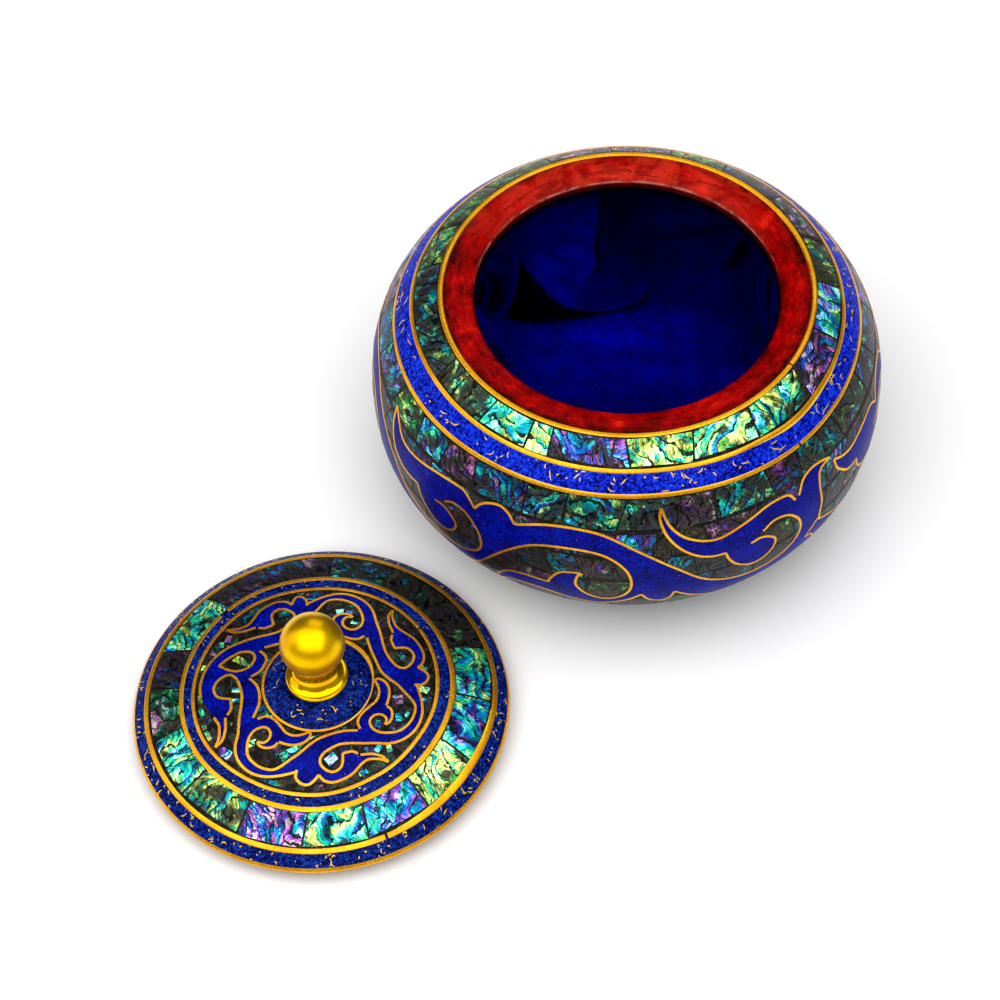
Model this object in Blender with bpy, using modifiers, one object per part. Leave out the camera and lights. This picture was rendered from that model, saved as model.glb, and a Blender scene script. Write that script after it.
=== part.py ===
"""A round inlaid jewelry box, standing open, with its lid lying beside it.

The bowl stands on the plane z = 0 with the centre of its underside at the origin. Its front is
towards -Y. The lid lies on the same plane, on the boss under its brim. Both are turned wood. Brass
rings, abalone tiles and bands of lapis are let into the wood, flush with its outside.
"""

import math

import bmesh
import bpy
import numpy as np

# Bowl, outside
BELLY_RADIUS = 0.0626
BELLY_HEIGHT = 0.0330
BOWL_HEIGHT = 0.0640
RIM_RADIUS = 0.0449
BASE_RADIUS = 0.0346
BELLY_ROUNDNESS = 2.38
FOOT_BAND = 0.0050

# Bowl, inside
RIM_WIDTH = 0.0084
RIM_FALL = 0.0016
LIP_ROUNDING = 0.0008
WALL_THICKNESS = 0.0080
FLOOR_THICKNESS = 0.0090
LINING_THICKNESS = 0.0030
LINING_FLOOR_PAD = 0.0034
LINING_SETBACK = 0.0007

# Inlay of the bowl, as widths down its slope from the rim, each to the middle of the next wire
UPPER_SHELL_WIDTH = 0.0080
LAPIS_BAND_WIDTH = 0.0060
BOWL_WIRE_WIDTH = 0.0011
SHELL_THICKNESS = 0.0010
FILLER_THICKNESS = 0.0008

# Lid
BOSS_HEIGHT = 0.0040
BOSS_CLEARANCE = 0.0006
EDGE_WIRE_HEIGHT = 0.0009
EDGE_WIRE_WIDTH = 0.0012
CHAMFER_HEIGHT = 0.0027
DOME_RISE = 0.0066
DOME_FLATNESS = 3.3

# Inlay of the lid, as widths in from its edge, each to the middle of the next wire
LID_LAPIS_RIM_WIDTH = 0.0035
LID_SHELL_WIDTH = 0.0093
LID_LAPIS_RING_WIDTH = 0.0032
LID_WIRE_WIDTH = 0.0010
CENTRE_WIRE_RADIUS = 0.0128
CENTRE_DISC_RISE = 0.0025

# Knob
BALL_RADIUS = 0.0076
NECK_RADIUS = 0.0039
STEM_HEIGHT = 0.0071
KNOB_FOOT_RADIUS = 0.0074
KNOB_FOOT_LIP = 0.0012
KNOB_SEAT_MARGIN = 0.0003

# Gaps between pieces that touch, and the joint of filler between two tiles
GAP = 0.0003
TILE_JOINT = 0.0007

# Where the lid lies: the clear width between belly and brim seen from above, and the bearing of
# the lid's axis from the front, to the left
LID_GAP = 0.0002
LID_BEARING = -45.8

# Places of the filler joints between tiles, in degrees from the front, growing to the right
BOWL_JOINTS = [-160, -140, -120, -104, -84, -65, -45.5, -31.5, -25, -3.5,
               14.5, 33, 53, 71.5, 90, 107.5, 127, 146, 163, 181]
LID_JOINTS = [-160, -138, -112, -95, -75, -52, -28, -5, 17, 39, 61.5, 85, 107.5, 130, 153, 176]

# Fineness of the turned pieces
SIDES = 36
KNOB_SIDES = 24
BELLY_ROWS = 6
WALL_ROWS = 6
CURVE_STEPS = 600

OPENING_RADIUS = RIM_RADIUS - RIM_WIDTH
INLAY_DEPTH = SHELL_THICKNESS + GAP + FILLER_THICKNESS
LID_RADIUS = RIM_RADIUS
BOSS_RADIUS = OPENING_RADIUS - BOSS_CLEARANCE
EDGE_TOP = BOSS_HEIGHT + EDGE_WIRE_HEIGHT
OUTER_WIRE_RADIUS = LID_RADIUS - LID_LAPIS_RIM_WIDTH
MIDDLE_WIRE_RADIUS = OUTER_WIRE_RADIUS - LID_SHELL_WIDTH
INNER_WIRE_RADIUS = MIDDLE_WIRE_RADIUS - LID_LAPIS_RING_WIDTH
SHOULDER_RADIUS = OUTER_WIRE_RADIUS + LID_WIRE_WIDTH / 2
SHOULDER_HEIGHT = EDGE_TOP + CHAMFER_HEIGHT
LID_DISTANCE = BELLY_RADIUS + LID_RADIUS + LID_GAP


class TurnedSurface:
    """The outside of a turned piece: a curve of radius and height from its top outwards and down."""

    def __init__(self, radii, heights):
        self.radii = np.asarray(radii)
        self.heights = np.asarray(heights)
        steps = np.hypot(np.diff(self.radii), np.diff(self.heights))
        self.distances = np.concatenate([[0.0], np.cumsum(steps)])
        self.length = self.distances[-1]
        out, up = np.gradient(self.radii), np.gradient(self.heights)
        self.inward_out = up / np.hypot(out, up)
        self.inward_up = -out / np.hypot(out, up)

    def point(self, along, depth=0.0):
        """The point at a distance along the curve, sunk by depth."""
        radius = np.interp(along, self.distances, self.radii + depth * self.inward_out)
        height = np.interp(along, self.distances, self.heights + depth * self.inward_up)
        return float(radius), float(height)

    def strip(self, start, end, rows, depth=0.0):
        """Points from start to end along the curve, sunk by depth."""
        return [self.point(along, depth) for along in np.linspace(start, end, rows + 1)]

    def along_at_radius(self, radius, depth=0.0):
        """The distance at which the curve first grows to a radius."""
        sunk = self.radii + depth * self.inward_out
        widest = int(np.argmax(sunk)) + 1
        return float(np.interp(radius, sunk[:widest], self.distances[:widest]))

    def along_at_height(self, height, depth=0.0):
        """The distance at which the curve comes down to a height."""
        sunk = self.heights + depth * self.inward_up
        return float(np.interp(-height, -sunk, self.distances))


def belly_reach(rise, end_radius):
    """Half height of the full round that narrows from the belly to end_radius over a rise."""
    return rise / (1 - (end_radius / BELLY_RADIUS) ** BELLY_ROUNDNESS) ** (1 / BELLY_ROUNDNESS)


def bowl_surface():
    """The bowl's outside, from the rim down to the base."""
    above = belly_reach(BOWL_HEIGHT - BELLY_HEIGHT, RIM_RADIUS)
    below = belly_reach(BELLY_HEIGHT, BASE_RADIUS)
    heights = np.linspace(BOWL_HEIGHT, 0.0, CURVE_STEPS)
    offset = heights - BELLY_HEIGHT
    share = np.abs(offset) / np.where(offset > 0, above, below)
    radii = BELLY_RADIUS * (1 - share ** BELLY_ROUNDNESS) ** (1 / BELLY_ROUNDNESS)
    return TurnedSurface(radii, heights)


def lid_surface():
    """The lid's outside, from its axis over the dome and the shoulder to the edge wire."""
    dome = np.linspace(0.0, SHOULDER_RADIUS, CURVE_STEPS)
    heights = SHOULDER_HEIGHT + DOME_RISE * (1 - (dome / SHOULDER_RADIUS) ** DOME_FLATNESS)
    radii = np.append(dome, LID_RADIUS)
    return TurnedSurface(radii, np.append(heights, EDGE_TOP))


def band_section(surface, start, end, rows=1, top=0.0, bottom=INLAY_DEPTH):
    """Section of a ring let into a surface, between two depths."""
    return surface.strip(start, end, rows, top) + surface.strip(end, start, rows, bottom)


def new_material(name, colour, roughness, metallic=0.0):
    material = bpy.data.materials.new(name)
    material.use_nodes = True
    shader = material.node_tree.nodes["Principled BSDF"]
    shader.inputs["Base Color"].default_value = (*colour, 1.0)
    shader.inputs["Roughness"].default_value = roughness
    shader.inputs["Metallic"].default_value = metallic
    material.diffuse_color = (*colour, 1.0)
    return material


def add_object(name, mesh, material, collection, parent):
    mesh.materials.append(material)
    piece = bpy.data.objects.new(name, mesh)
    piece.parent = parent
    collection.objects.link(piece)
    return piece


def turn(name, profile, material, collection, parent, closed=False, sides=SIDES):
    """Turn a profile of (radius, height) points about the axis of its parent."""
    count = len(profile)
    edges = [(i, i + 1) for i in range(count - 1)]
    if closed:
        edges.append((count - 1, 0))
    mesh = bpy.data.meshes.new(name)
    mesh.from_pydata([(radius, 0.0, height) for radius, height in profile], edges, [])
    piece = add_object(name, mesh, material, collection, parent)
    turning = piece.modifiers.new("turning", "SCREW")
    turning.axis = "Z"
    turning.steps = turning.render_steps = sides
    turning.use_merge_vertices = True
    turning.merge_threshold = 0.00001
    turning.use_smooth_shade = False
    return piece


def cut_tiles(prefix, section, joints, joint_radius, material, collection, parent):
    """Cut a ring of tiles at its joints, each tile a spun block with the ring's section."""
    half_joint = math.degrees(TILE_JOINT / 2 / joint_radius)
    facet = 360 / SIDES
    for index, start in enumerate(joints):
        end = joints[(index + 1) % len(joints)]
        first = start + half_joint
        sweep = (end - start) % 360 - 2 * half_joint
        shape = bmesh.new()
        azimuth = math.radians(first - 90)
        corners = [
            shape.verts.new((radius * math.cos(azimuth), radius * math.sin(azimuth), height))
            for radius, height in section
        ]
        face = shape.faces.new(corners)
        bmesh.ops.spin(
            shape,
            geom=[face, *face.edges, *face.verts],
            cent=(0.0, 0.0, 0.0),
            axis=(0.0, 0.0, 1.0),
            angle=math.radians(sweep),
            steps=max(2, math.ceil(sweep / facet)),
        )
        bmesh.ops.recalc_face_normals(shape, faces=shape.faces)
        mesh = bpy.data.meshes.new(f"{prefix}_{index + 1:02d}")
        shape.to_mesh(mesh)
        shape.free()
        add_object(mesh.name, mesh, material, collection, parent)


def bowl_core_profile(surface, belly_end):
    """Floor, inner wall, lip, sloping rim, seat of the inlay, bare foot and underside."""
    seat = INLAY_DEPTH + GAP
    floor_at = surface.along_at_height(FLOOR_THICKNESS, WALL_THICKNESS)
    inner_wall = surface.strip(floor_at, 0.0, WALL_ROWS, WALL_THICKNESS)
    lip_height = inner_wall[-1][1]
    rim_inner = BOWL_HEIGHT - RIM_FALL
    seat_top = surface.point(0.0, seat)
    wire_bottom = surface.point(0.0, INLAY_DEPTH)
    lower_rows = surface.strip(UPPER_SHELL_WIDTH + LAPIS_BAND_WIDTH, belly_end + GAP, BELLY_ROWS, seat)
    return (
        [(0.0, FLOOR_THICKNESS)]
        + inner_wall
        + [
            (OPENING_RADIUS, lip_height),
            (OPENING_RADIUS, rim_inner - LIP_ROUNDING),
            (OPENING_RADIUS + LIP_ROUNDING, rim_inner),
            (RIM_RADIUS - BOWL_WIRE_WIDTH - GAP, BOWL_HEIGHT - LIP_ROUNDING / 2),
            (wire_bottom[0] - BOWL_WIRE_WIDTH - GAP, seat_top[1]),
            seat_top,
            surface.point(UPPER_SHELL_WIDTH, seat),
        ]
        + lower_rows
        + surface.strip(belly_end + GAP, surface.length, 1)
        + [(0.0, 0.0)]
    )


def lining_profile(surface):
    """The velvet: padded floor, wall, and top edge tucked under the lip."""
    outer = WALL_THICKNESS + GAP
    inner = outer + LINING_THICKNESS
    underside = FLOOR_THICKNESS + GAP
    pad_top = underside + LINING_FLOOR_PAD
    mouth = OPENING_RADIUS + LINING_SETBACK
    outer_start = surface.along_at_height(underside, outer)
    inner_start = surface.along_at_height(pad_top, inner)
    inner_end = surface.along_at_radius(mouth, inner)
    outer_wall = surface.strip(0.0, outer_start, WALL_ROWS, outer)
    inner_wall = surface.strip(inner_start, inner_end, WALL_ROWS, inner)
    return (
        [(0.0, pad_top)] + inner_wall + [(mouth, outer_wall[0][1])] + outer_wall + [(0.0, underside)]
    )


def rim_wire_section(surface):
    """The wire on the rim's outer corner: flat above, leaning in with the slope below."""
    bottom_out, bottom_height = surface.point(0.0, INLAY_DEPTH)
    return [
        (RIM_RADIUS - BOWL_WIRE_WIDTH, BOWL_HEIGHT),
        (RIM_RADIUS, BOWL_HEIGHT),
        (bottom_out, bottom_height),
        (bottom_out - BOWL_WIRE_WIDTH, bottom_height),
    ]


def make_bowl(collection, stand, finishes):
    surface = bowl_surface()
    half_wire = BOWL_WIRE_WIDTH / 2
    upper_wire_at = UPPER_SHELL_WIDTH
    lower_wire_at = UPPER_SHELL_WIDTH + LAPIS_BAND_WIDTH
    belly_start = lower_wire_at + half_wire + GAP
    belly_end = surface.length - FOOT_BAND
    shell_end = upper_wire_at - half_wire - GAP

    def ring(name, section, finish):
        turn(name, section, finishes[finish], collection, stand, closed=True)

    turn("bowl_core", bowl_core_profile(surface, belly_end), finishes["red lacquer"],
         collection, stand)
    ring("rim_wire", rim_wire_section(surface), "brass")
    ring("upper_filler",
         band_section(surface, GAP, shell_end, top=SHELL_THICKNESS + GAP), "black filler")
    tile = band_section(surface, GAP, shell_end, bottom=SHELL_THICKNESS)
    cut_tiles("upper_shell", tile, BOWL_JOINTS, RIM_RADIUS, finishes["abalone"], collection, stand)
    for name, middle in (("upper_wire", upper_wire_at), ("lower_wire", lower_wire_at)):
        ring(name, band_section(surface, middle - half_wire, middle + half_wire), "brass")
    ring("lapis_band",
         band_section(surface, upper_wire_at + half_wire + GAP, lower_wire_at - half_wire - GAP),
         "lapis")
    ring("belly_inlay", band_section(surface, belly_start, belly_end, BELLY_ROWS), "dark abalone")
    turn("velvet_lining", lining_profile(surface), finishes["velvet"], collection, stand)


def lid_core_profile(surface, shoulder_at):
    """Seat of the inlay from the axis to the shoulder, brim, and the boss underneath."""
    seat = INLAY_DEPTH + GAP
    brim_radius = LID_RADIUS - EDGE_WIRE_WIDTH - GAP
    middle_at = surface.along_at_radius(MIDDLE_WIRE_RADIUS)
    centre_at = surface.along_at_radius(CENTRE_WIRE_RADIUS)
    return (
        [surface.point(0.0, seat), surface.point(centre_at, seat)]
        + surface.strip(middle_at, shoulder_at, 1, seat)
        + [
            (brim_radius, EDGE_TOP),
            (brim_radius, BOSS_HEIGHT),
            (BOSS_RADIUS, BOSS_HEIGHT),
            (BOSS_RADIUS, 0.0),
            (0.0, 0.0),
        ]
    )


def lapis_rim_section(surface, shoulder_at):
    """The lid's chamfered lapis ring, between the outer wire and the edge wire."""
    wire_top, wire_bottom = surface.point(shoulder_at), surface.point(shoulder_at, INLAY_DEPTH)
    start = surface.point(shoulder_at + GAP)
    below_start = (start[0] + wire_bottom[0] - wire_top[0], start[1] + wire_bottom[1] - wire_top[1])
    end = surface.point(surface.along_at_height(EDGE_TOP + GAP))
    return [start, end, (LID_RADIUS - EDGE_WIRE_WIDTH, end[1]), below_start]


def centre_disc_profile(surface, edge):
    """A low dome inside the centre wire, flat under the knob."""
    seat_radius = KNOB_FOOT_RADIUS + KNOB_SEAT_MARGIN
    edge_radius, edge_height = surface.point(edge)
    slope = [
        (
            seat_radius + (edge_radius - seat_radius) * share,
            edge_height + CENTRE_DISC_RISE * (1 - share ** 2),
        )
        for share in np.linspace(0.0, 1.0, 4)
    ]
    underside = [surface.point(edge, INLAY_DEPTH), surface.point(0.0, INLAY_DEPTH)]
    return [(0.0, slope[0][1])] + slope + underside, slope[0][1]


def knob_profile(base):
    """A ball on a flared foot, from the top of the ball down to the foot's underside."""
    neck_angle = math.pi - math.asin(NECK_RADIUS / BALL_RADIUS)
    ball_height = base + STEM_HEIGHT - BALL_RADIUS * math.cos(neck_angle)
    ball = [
        (BALL_RADIUS * math.sin(angle), ball_height + BALL_RADIUS * math.cos(angle))
        for angle in np.linspace(0.0, neck_angle, 10)
    ]
    flare_height = STEM_HEIGHT - KNOB_FOOT_LIP
    flare = [
        (
            NECK_RADIUS + (KNOB_FOOT_RADIUS - NECK_RADIUS) * (1 - math.cos(angle)),
            base + KNOB_FOOT_LIP + flare_height * (1 - math.sin(angle)),
        )
        for angle in np.linspace(0.0, math.pi / 2, 6)[1:]
    ]
    return ball + flare + [(KNOB_FOOT_RADIUS, base), (0.0, base)]


def make_lid(collection, stand, finishes):
    surface = lid_surface()
    half_wire = LID_WIRE_WIDTH / 2
    outer_at, middle_at, inner_at, centre_at = (
        surface.along_at_radius(radius)
        for radius in (OUTER_WIRE_RADIUS, MIDDLE_WIRE_RADIUS, INNER_WIRE_RADIUS, CENTRE_WIRE_RADIUS)
    )
    beside = half_wire + GAP
    shoulder_at = outer_at + half_wire

    def ring(name, section, finish):
        turn(name, section, finishes[finish], collection, stand, closed=True)

    turn("lid_core", lid_core_profile(surface, shoulder_at), finishes["red lacquer"],
         collection, stand)
    ring("lid_edge_wire",
         [
             (LID_RADIUS - EDGE_WIRE_WIDTH, EDGE_TOP),
             (LID_RADIUS, EDGE_TOP),
             (LID_RADIUS, BOSS_HEIGHT),
             (LID_RADIUS - EDGE_WIRE_WIDTH, BOSS_HEIGHT),
         ],
         "brass")
    ring("lid_lapis_rim", lapis_rim_section(surface, shoulder_at), "lapis")
    for name, middle in (
        ("lid_outer_wire", outer_at),
        ("lid_middle_wire", middle_at),
        ("lid_inner_wire", inner_at),
        ("lid_centre_wire", centre_at),
    ):
        ring(name, band_section(surface, middle - half_wire, middle + half_wire), "brass")
    shell_start, shell_end = middle_at + beside, outer_at - beside
    ring("lid_filler",
         band_section(surface, shell_start, shell_end, top=SHELL_THICKNESS + GAP), "black filler")
    tile = band_section(surface, shell_start, shell_end, bottom=SHELL_THICKNESS)
    cut_tiles("lid_shell", tile, LID_JOINTS, OUTER_WIRE_RADIUS, finishes["abalone"],
              collection, stand)
    ring("lid_lapis_ring", band_section(surface, inner_at + beside, middle_at - beside), "lapis")
    ring("lid_scroll_field", band_section(surface, centre_at + beside, inner_at - beside, 2),
         "dark lapis")
    disc, knob_seat = centre_disc_profile(surface, centre_at - beside)
    turn("lid_centre_disc", disc, finishes["lapis"], collection, stand)
    turn("knob", knob_profile(knob_seat + GAP), finishes["polished brass"], collection, stand,
         sides=KNOB_SIDES)


def make_stand(name, place, collection):
    """An empty on the axis that a group of pieces is turned about."""
    stand = bpy.data.objects.new(name, None)
    stand.empty_display_size = 0.01
    stand.location = place
    collection.objects.link(stand)
    return stand


def main():
    for old in list(bpy.data.objects):
        bpy.data.objects.remove(old, do_unlink=True)
    collection = bpy.data.collections.new("inlaid_jewelry_box")
    bpy.context.scene.collection.children.link(collection)
    finishes = {
        "red lacquer": new_material("red lacquer", (0.35, 0.02, 0.012), 0.25),
        "brass": new_material("brass", (0.80, 0.52, 0.12), 0.30, 1.0),
        "polished brass": new_material("polished brass", (0.85, 0.60, 0.12), 0.12, 1.0),
        "lapis": new_material("lapis", (0.012, 0.035, 0.42), 0.25),
        "dark lapis": new_material("dark lapis", (0.010, 0.025, 0.22), 0.25),
        "abalone": new_material("abalone", (0.16, 0.42, 0.36), 0.20, 0.3),
        "dark abalone": new_material("dark abalone", (0.06, 0.14, 0.22), 0.25, 0.2),
        "black filler": new_material("black filler", (0.02, 0.02, 0.022), 0.35),
        "velvet": new_material("velvet", (0.004, 0.006, 0.16), 0.95),
    }
    bowl_stand = make_stand("bowl_axis", (0.0, 0.0, 0.0), collection)
    bearing = math.radians(LID_BEARING)
    lid_place = (LID_DISTANCE * math.sin(bearing), -LID_DISTANCE * math.cos(bearing), 0.0)
    lid_stand = make_stand("lid_axis", lid_place, collection)
    make_bowl(collection, bowl_stand, finishes)
    make_lid(collection, lid_stand, finishes)


main()
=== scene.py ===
"""Looks of the round inlaid jewelry box: every piece of the bowl and of its lid, dressed over the frame.

All lengths are in metres, and reaches and bearings are read as a maker would mark them out. On the bowl
a reach is the distance down the slope from the rim, and on the lid it is the distance out from the
lid's axis. A bearing is in degrees from the front, growing to the right. The inlay is cut flat, on a
sheet where the bearing turns about the middle, and is then laid on the turned wood.
"""

import math
import random

import bpy
import numpy as np
from mathutils import Matrix, Vector


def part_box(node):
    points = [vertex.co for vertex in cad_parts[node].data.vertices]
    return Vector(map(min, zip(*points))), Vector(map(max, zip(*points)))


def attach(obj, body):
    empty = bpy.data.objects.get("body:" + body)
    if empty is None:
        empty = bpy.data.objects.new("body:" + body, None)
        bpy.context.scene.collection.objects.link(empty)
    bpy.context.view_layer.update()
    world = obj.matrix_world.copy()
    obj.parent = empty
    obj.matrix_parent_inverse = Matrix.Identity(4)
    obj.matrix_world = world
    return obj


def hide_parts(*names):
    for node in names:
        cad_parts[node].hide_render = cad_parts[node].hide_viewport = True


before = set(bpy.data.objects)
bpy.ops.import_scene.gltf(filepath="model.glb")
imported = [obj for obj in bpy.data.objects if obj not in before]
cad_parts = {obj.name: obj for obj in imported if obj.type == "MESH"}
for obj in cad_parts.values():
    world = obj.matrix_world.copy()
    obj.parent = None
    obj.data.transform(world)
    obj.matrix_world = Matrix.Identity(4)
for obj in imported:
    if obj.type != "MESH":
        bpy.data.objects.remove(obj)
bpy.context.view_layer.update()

MM = 0.001

# Sizes read from the frame
RIM_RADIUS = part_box("rim_wire")[1].x
BOWL_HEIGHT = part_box("rim_wire")[1].z
BELLY_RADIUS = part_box("belly_inlay")[1].x - 0.1 * MM
FOOT_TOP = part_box("belly_inlay")[0].z
LINING_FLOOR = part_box("velvet_lining")[0].z
LINING_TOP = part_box("velvet_lining")[1].z
LID_AXIS = (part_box("knob")[0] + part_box("knob")[1]) / 2
LID_RADIUS = (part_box("lid_edge_wire")[1].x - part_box("lid_edge_wire")[0].x) / 2
BOSS_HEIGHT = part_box("lid_edge_wire")[0].z
EDGE_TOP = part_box("lid_edge_wire")[1].z
KNOB_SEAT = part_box("knob")[0].z
KNOB_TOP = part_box("knob")[1].z

# Sizes that the frame's boxes don't tell, as in the turned solids
BASE_RADIUS = 34.6 * MM
BELLY_HEIGHT = 33.0 * MM
BELLY_ROUNDNESS = 2.38
OPENING_RADIUS = 36.5 * MM
RIM_FALL = 1.6 * MM
LIP_ROUNDING = 0.8 * MM
WALL_THICKNESS = 8.0 * MM
FLOOR_THICKNESS = 9.0 * MM
BOSS_RADIUS = 35.9 * MM
SHOULDER_RADIUS = 41.9 * MM
SHOULDER_HEIGHT = EDGE_TOP + 2.7 * MM
DOME_RISE = 6.6 * MM
DOME_FLATNESS = 3.3
VELVET_EDGE = BOWL_HEIGHT - 3.6 * MM
VELVET_FLOOR = LINING_FLOOR + 3.4 * MM
BALL_RADIUS = 7.6 * MM
NECK_RADIUS = 3.9 * MM
KNOB_FOOT_RADIUS = 7.4 * MM

# Wires of the bowl and of the lid, by reach, and how wide they are
UPPER_WIRE, LOWER_WIRE = 8.0 * MM, 14.0 * MM
OUTER_WIRE, MIDDLE_WIRE, INNER_WIRE, CENTRE_WIRE = 41.4 * MM, 32.1 * MM, 28.9 * MM, 12.8 * MM
WIRE_WIDTH = 1.1 * MM
BELLY_CLOISON, LID_CLOISON = 0.64 * MM, 0.62 * MM
SLIP_JOINT = 0.5 * MM

# Proud heights of the inlay over the turned surface
FILLER_RISE = -0.05 * MM
SHELL_RISE = 0.0
LAPIS_RISE = 0.02 * MM
WIRE_RISE = 0.05 * MM
FILING_RISE = 0.03 * MM
SCROLL_RISE = 0.05 * MM
SCROLL_WIRE_RISE = 0.09 * MM
INLAY_THICKNESS = 0.9 * MM
SCROLL_THICKNESS = 0.5 * MM
SLIP_THICKNESS = 0.6 * MM
SEAT_DEPTH = INLAY_THICKNESS + 0.2 * MM

SPIN_STEPS = 192
VELVET_STEPS = 400
COMMON_PILE_LIGHT, HIDDEN_PILE_LIGHT = 0.30, 0.42
STROKE_STEPS = 6
WORN_ANGLE = 40
SLIP_BLANK = 10 * MM
PICTURE_SIZE = 1000


def clear_selection():
    if bpy.context.object and bpy.context.object.mode != "OBJECT":
        bpy.ops.object.mode_set(mode="OBJECT")
    bpy.ops.object.select_all(action="DESELECT")


def take_up(piece):
    """Make a piece the selected, active one."""
    clear_selection()
    piece.select_set(True)
    bpy.context.view_layer.objects.active = piece


# Turned surfaces

class Ground:
    """A turned surface that inlay is laid on: its curve by reach, its axis, and how its wires wander."""

    def __init__(self, reaches, radii, heights, axis, hub, wander):
        self.reaches, self.radii, self.heights = reaches, radii, heights
        along, rise = np.gradient(radii), np.gradient(heights)
        slope = np.hypot(along, rise)
        self.out, self.up = -rise / slope, along / slope
        self.axis, self.hub, self.wander = axis, hub, wander

    def shift(self, bearings, reaches):
        """How far the hand-laid wires lead the inlay off its true circle."""
        marks = [mark for mark, _ in self.wander]
        drifts = [drift_of(bearings, knots) for _, knots in self.wander]
        shifts = np.zeros(len(reaches))
        for (low, high), (start, end) in zip(zip(marks, marks[1:]), zip(drifts, drifts[1:])):
            inside = (reaches >= low) & (reaches <= high)
            share = (reaches - low) / (high - low)
            shifts = np.where(inside, start + (end - start) * share, shifts)
        return shifts

    def place(self, bearings, reaches, rises):
        """Points over the surface, for arrays of bearings in radians, reaches and rises."""
        reaches = reaches + self.shift(bearings, reaches)
        out = np.interp(reaches, self.reaches, self.out)
        up = np.interp(reaches, self.reaches, self.up)
        radii = np.interp(reaches, self.reaches, self.radii) + rises * out
        heights = np.interp(reaches, self.reaches, self.heights) + rises * up
        return np.column_stack([
            self.axis[0] + radii * np.sin(bearings),
            self.axis[1] - radii * np.cos(bearings),
            heights,
        ])


def eased(share):
    return share * share * (3 - 2 * share)


def drift_of(bearings, knots):
    """Drift at each bearing, eased from knot to knot of (bearing in degrees, drift in mm)."""
    if not knots:
        return np.zeros(len(bearings))
    places = np.array([place for place, _ in knots] + [knots[0][0] + 360.0])
    drifts = np.array([drift for _, drift in knots] + [knots[0][1]]) * MM
    turn = (np.degrees(bearings) - places[0]) % 360.0 + places[0]
    index = np.clip(np.searchsorted(places, turn, side="right") - 1, 0, len(knots) - 1)
    share = (turn - places[index]) / (places[index + 1] - places[index])
    return drifts[index] + (drifts[index + 1] - drifts[index]) * eased(share)


def bowl_curve(sunk=0.0):
    """Radii and heights of the bowl's outside from the rim to the base, or of the curve sunk by a depth."""
    power = BELLY_ROUNDNESS
    above = (BOWL_HEIGHT - BELLY_HEIGHT) / (1 - (RIM_RADIUS / BELLY_RADIUS) ** power) ** (1 / power)
    below = BELLY_HEIGHT / (1 - (BASE_RADIUS / BELLY_RADIUS) ** power) ** (1 / power)
    heights = np.linspace(BOWL_HEIGHT, 0.0, 600)
    offset = heights - BELLY_HEIGHT
    share = np.abs(offset) / np.where(offset > 0, above, below)
    radii = BELLY_RADIUS * (1 - share ** power) ** (1 / power)
    along, rise = np.gradient(radii), np.gradient(heights)
    slope = np.hypot(along, rise)
    return radii + sunk * rise / slope, heights - sunk * along / slope


def dome_height(radii):
    """Height of the lid's top: a flat dome, and a chamfer down to the edge wire."""
    dome = SHOULDER_HEIGHT + DOME_RISE * (1 - np.minimum(radii / SHOULDER_RADIUS, 1.0) ** DOME_FLATNESS)
    chamfer = (radii - SHOULDER_RADIUS) / (LID_RADIUS - SHOULDER_RADIUS) * (SHOULDER_HEIGHT - EDGE_TOP)
    return dome - np.maximum(chamfer, 0.0)


BOWL_WANDER = [
    (0.0, []),
    (UPPER_WIRE, [(-140, 0.7), (-110, 0.5), (-65, -0.3), (-30, 0.0), (0, 0.0), (30, 0.6), (43, 1.2),
                  (60, 0.6), (90, 0.2), (125, 0.6), (170, 0.3)]),
    (LOWER_WIRE, [(-130, 0.5), (-95, 0.7), (-70, 0.6), (-30, -0.2), (0, -0.3), (40, 0.7), (70, 0.4),
                  (95, 0.8), (150, 0.2)]),
    (24.0 * MM, []),
]
LID_WANDER = [
    (0.0, []),
    (CENTRE_WIRE, [(-170, 0.2), (-60, 0.0), (0, 0.0), (75, -0.25), (130, 0.5)]),
    (INNER_WIRE, [(-180, -0.6), (-140, 0.5), (-70, 1.0), (-30, 0.2), (0, 0.2), (30, -0.7), (55, -1.2),
                  (80, -0.9), (130, -0.4)]),
    (MIDDLE_WIRE, [(-180, -0.2), (-142, 0.5), (-60, 0.5), (-30, 0.2), (0, 0.4), (40, -0.35), (60, -0.7),
                   (100, -0.35)]),
    (OUTER_WIRE, [(-150, 0.0), (0, 0.0), (60, -0.4), (100, 0.3)]),
    (LID_RADIUS, []),
]


def bowl_ground():
    radii, heights = bowl_curve()
    steps = np.hypot(np.diff(radii), np.diff(heights))
    reaches = np.concatenate([[0.0], np.cumsum(steps)])
    return Ground(reaches, radii, heights, (0.0, 0.0), RIM_RADIUS, BOWL_WANDER)


def lid_ground():
    radii = np.linspace(0.0, LID_RADIUS, 900)
    return Ground(radii, radii, dome_height(radii), (LID_AXIS.x, LID_AXIS.y), 0.0, LID_WANDER)


def disc_ground():
    """The dome of lapis round the knob's foot."""
    radii = np.linspace(KNOB_FOOT_RADIUS + 0.3 * MM, CENTRE_WIRE, 24)
    share = (radii - radii[0]) / (radii[-1] - radii[0])
    heights = float(dome_height(CENTRE_WIRE)) + 2.5 * MM * (1 - share ** 2)
    return Ground(radii, radii, heights, (LID_AXIS.x, LID_AXIS.y), 0.0, [])


BOWL, LID, DISC = bowl_ground(), lid_ground(), disc_ground()
BELLY_END = float(np.interp(-FOOT_TOP, -BOWL.heights, BOWL.reaches))


# Making pieces

def face_outwards():
    """Point all faces of the piece in hand outwards, and leave edit mode."""
    bpy.ops.mesh.select_all(action="SELECT")
    bpy.ops.mesh.normals_make_consistent(inside=False)
    bpy.ops.object.mode_set(mode="OBJECT")


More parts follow.
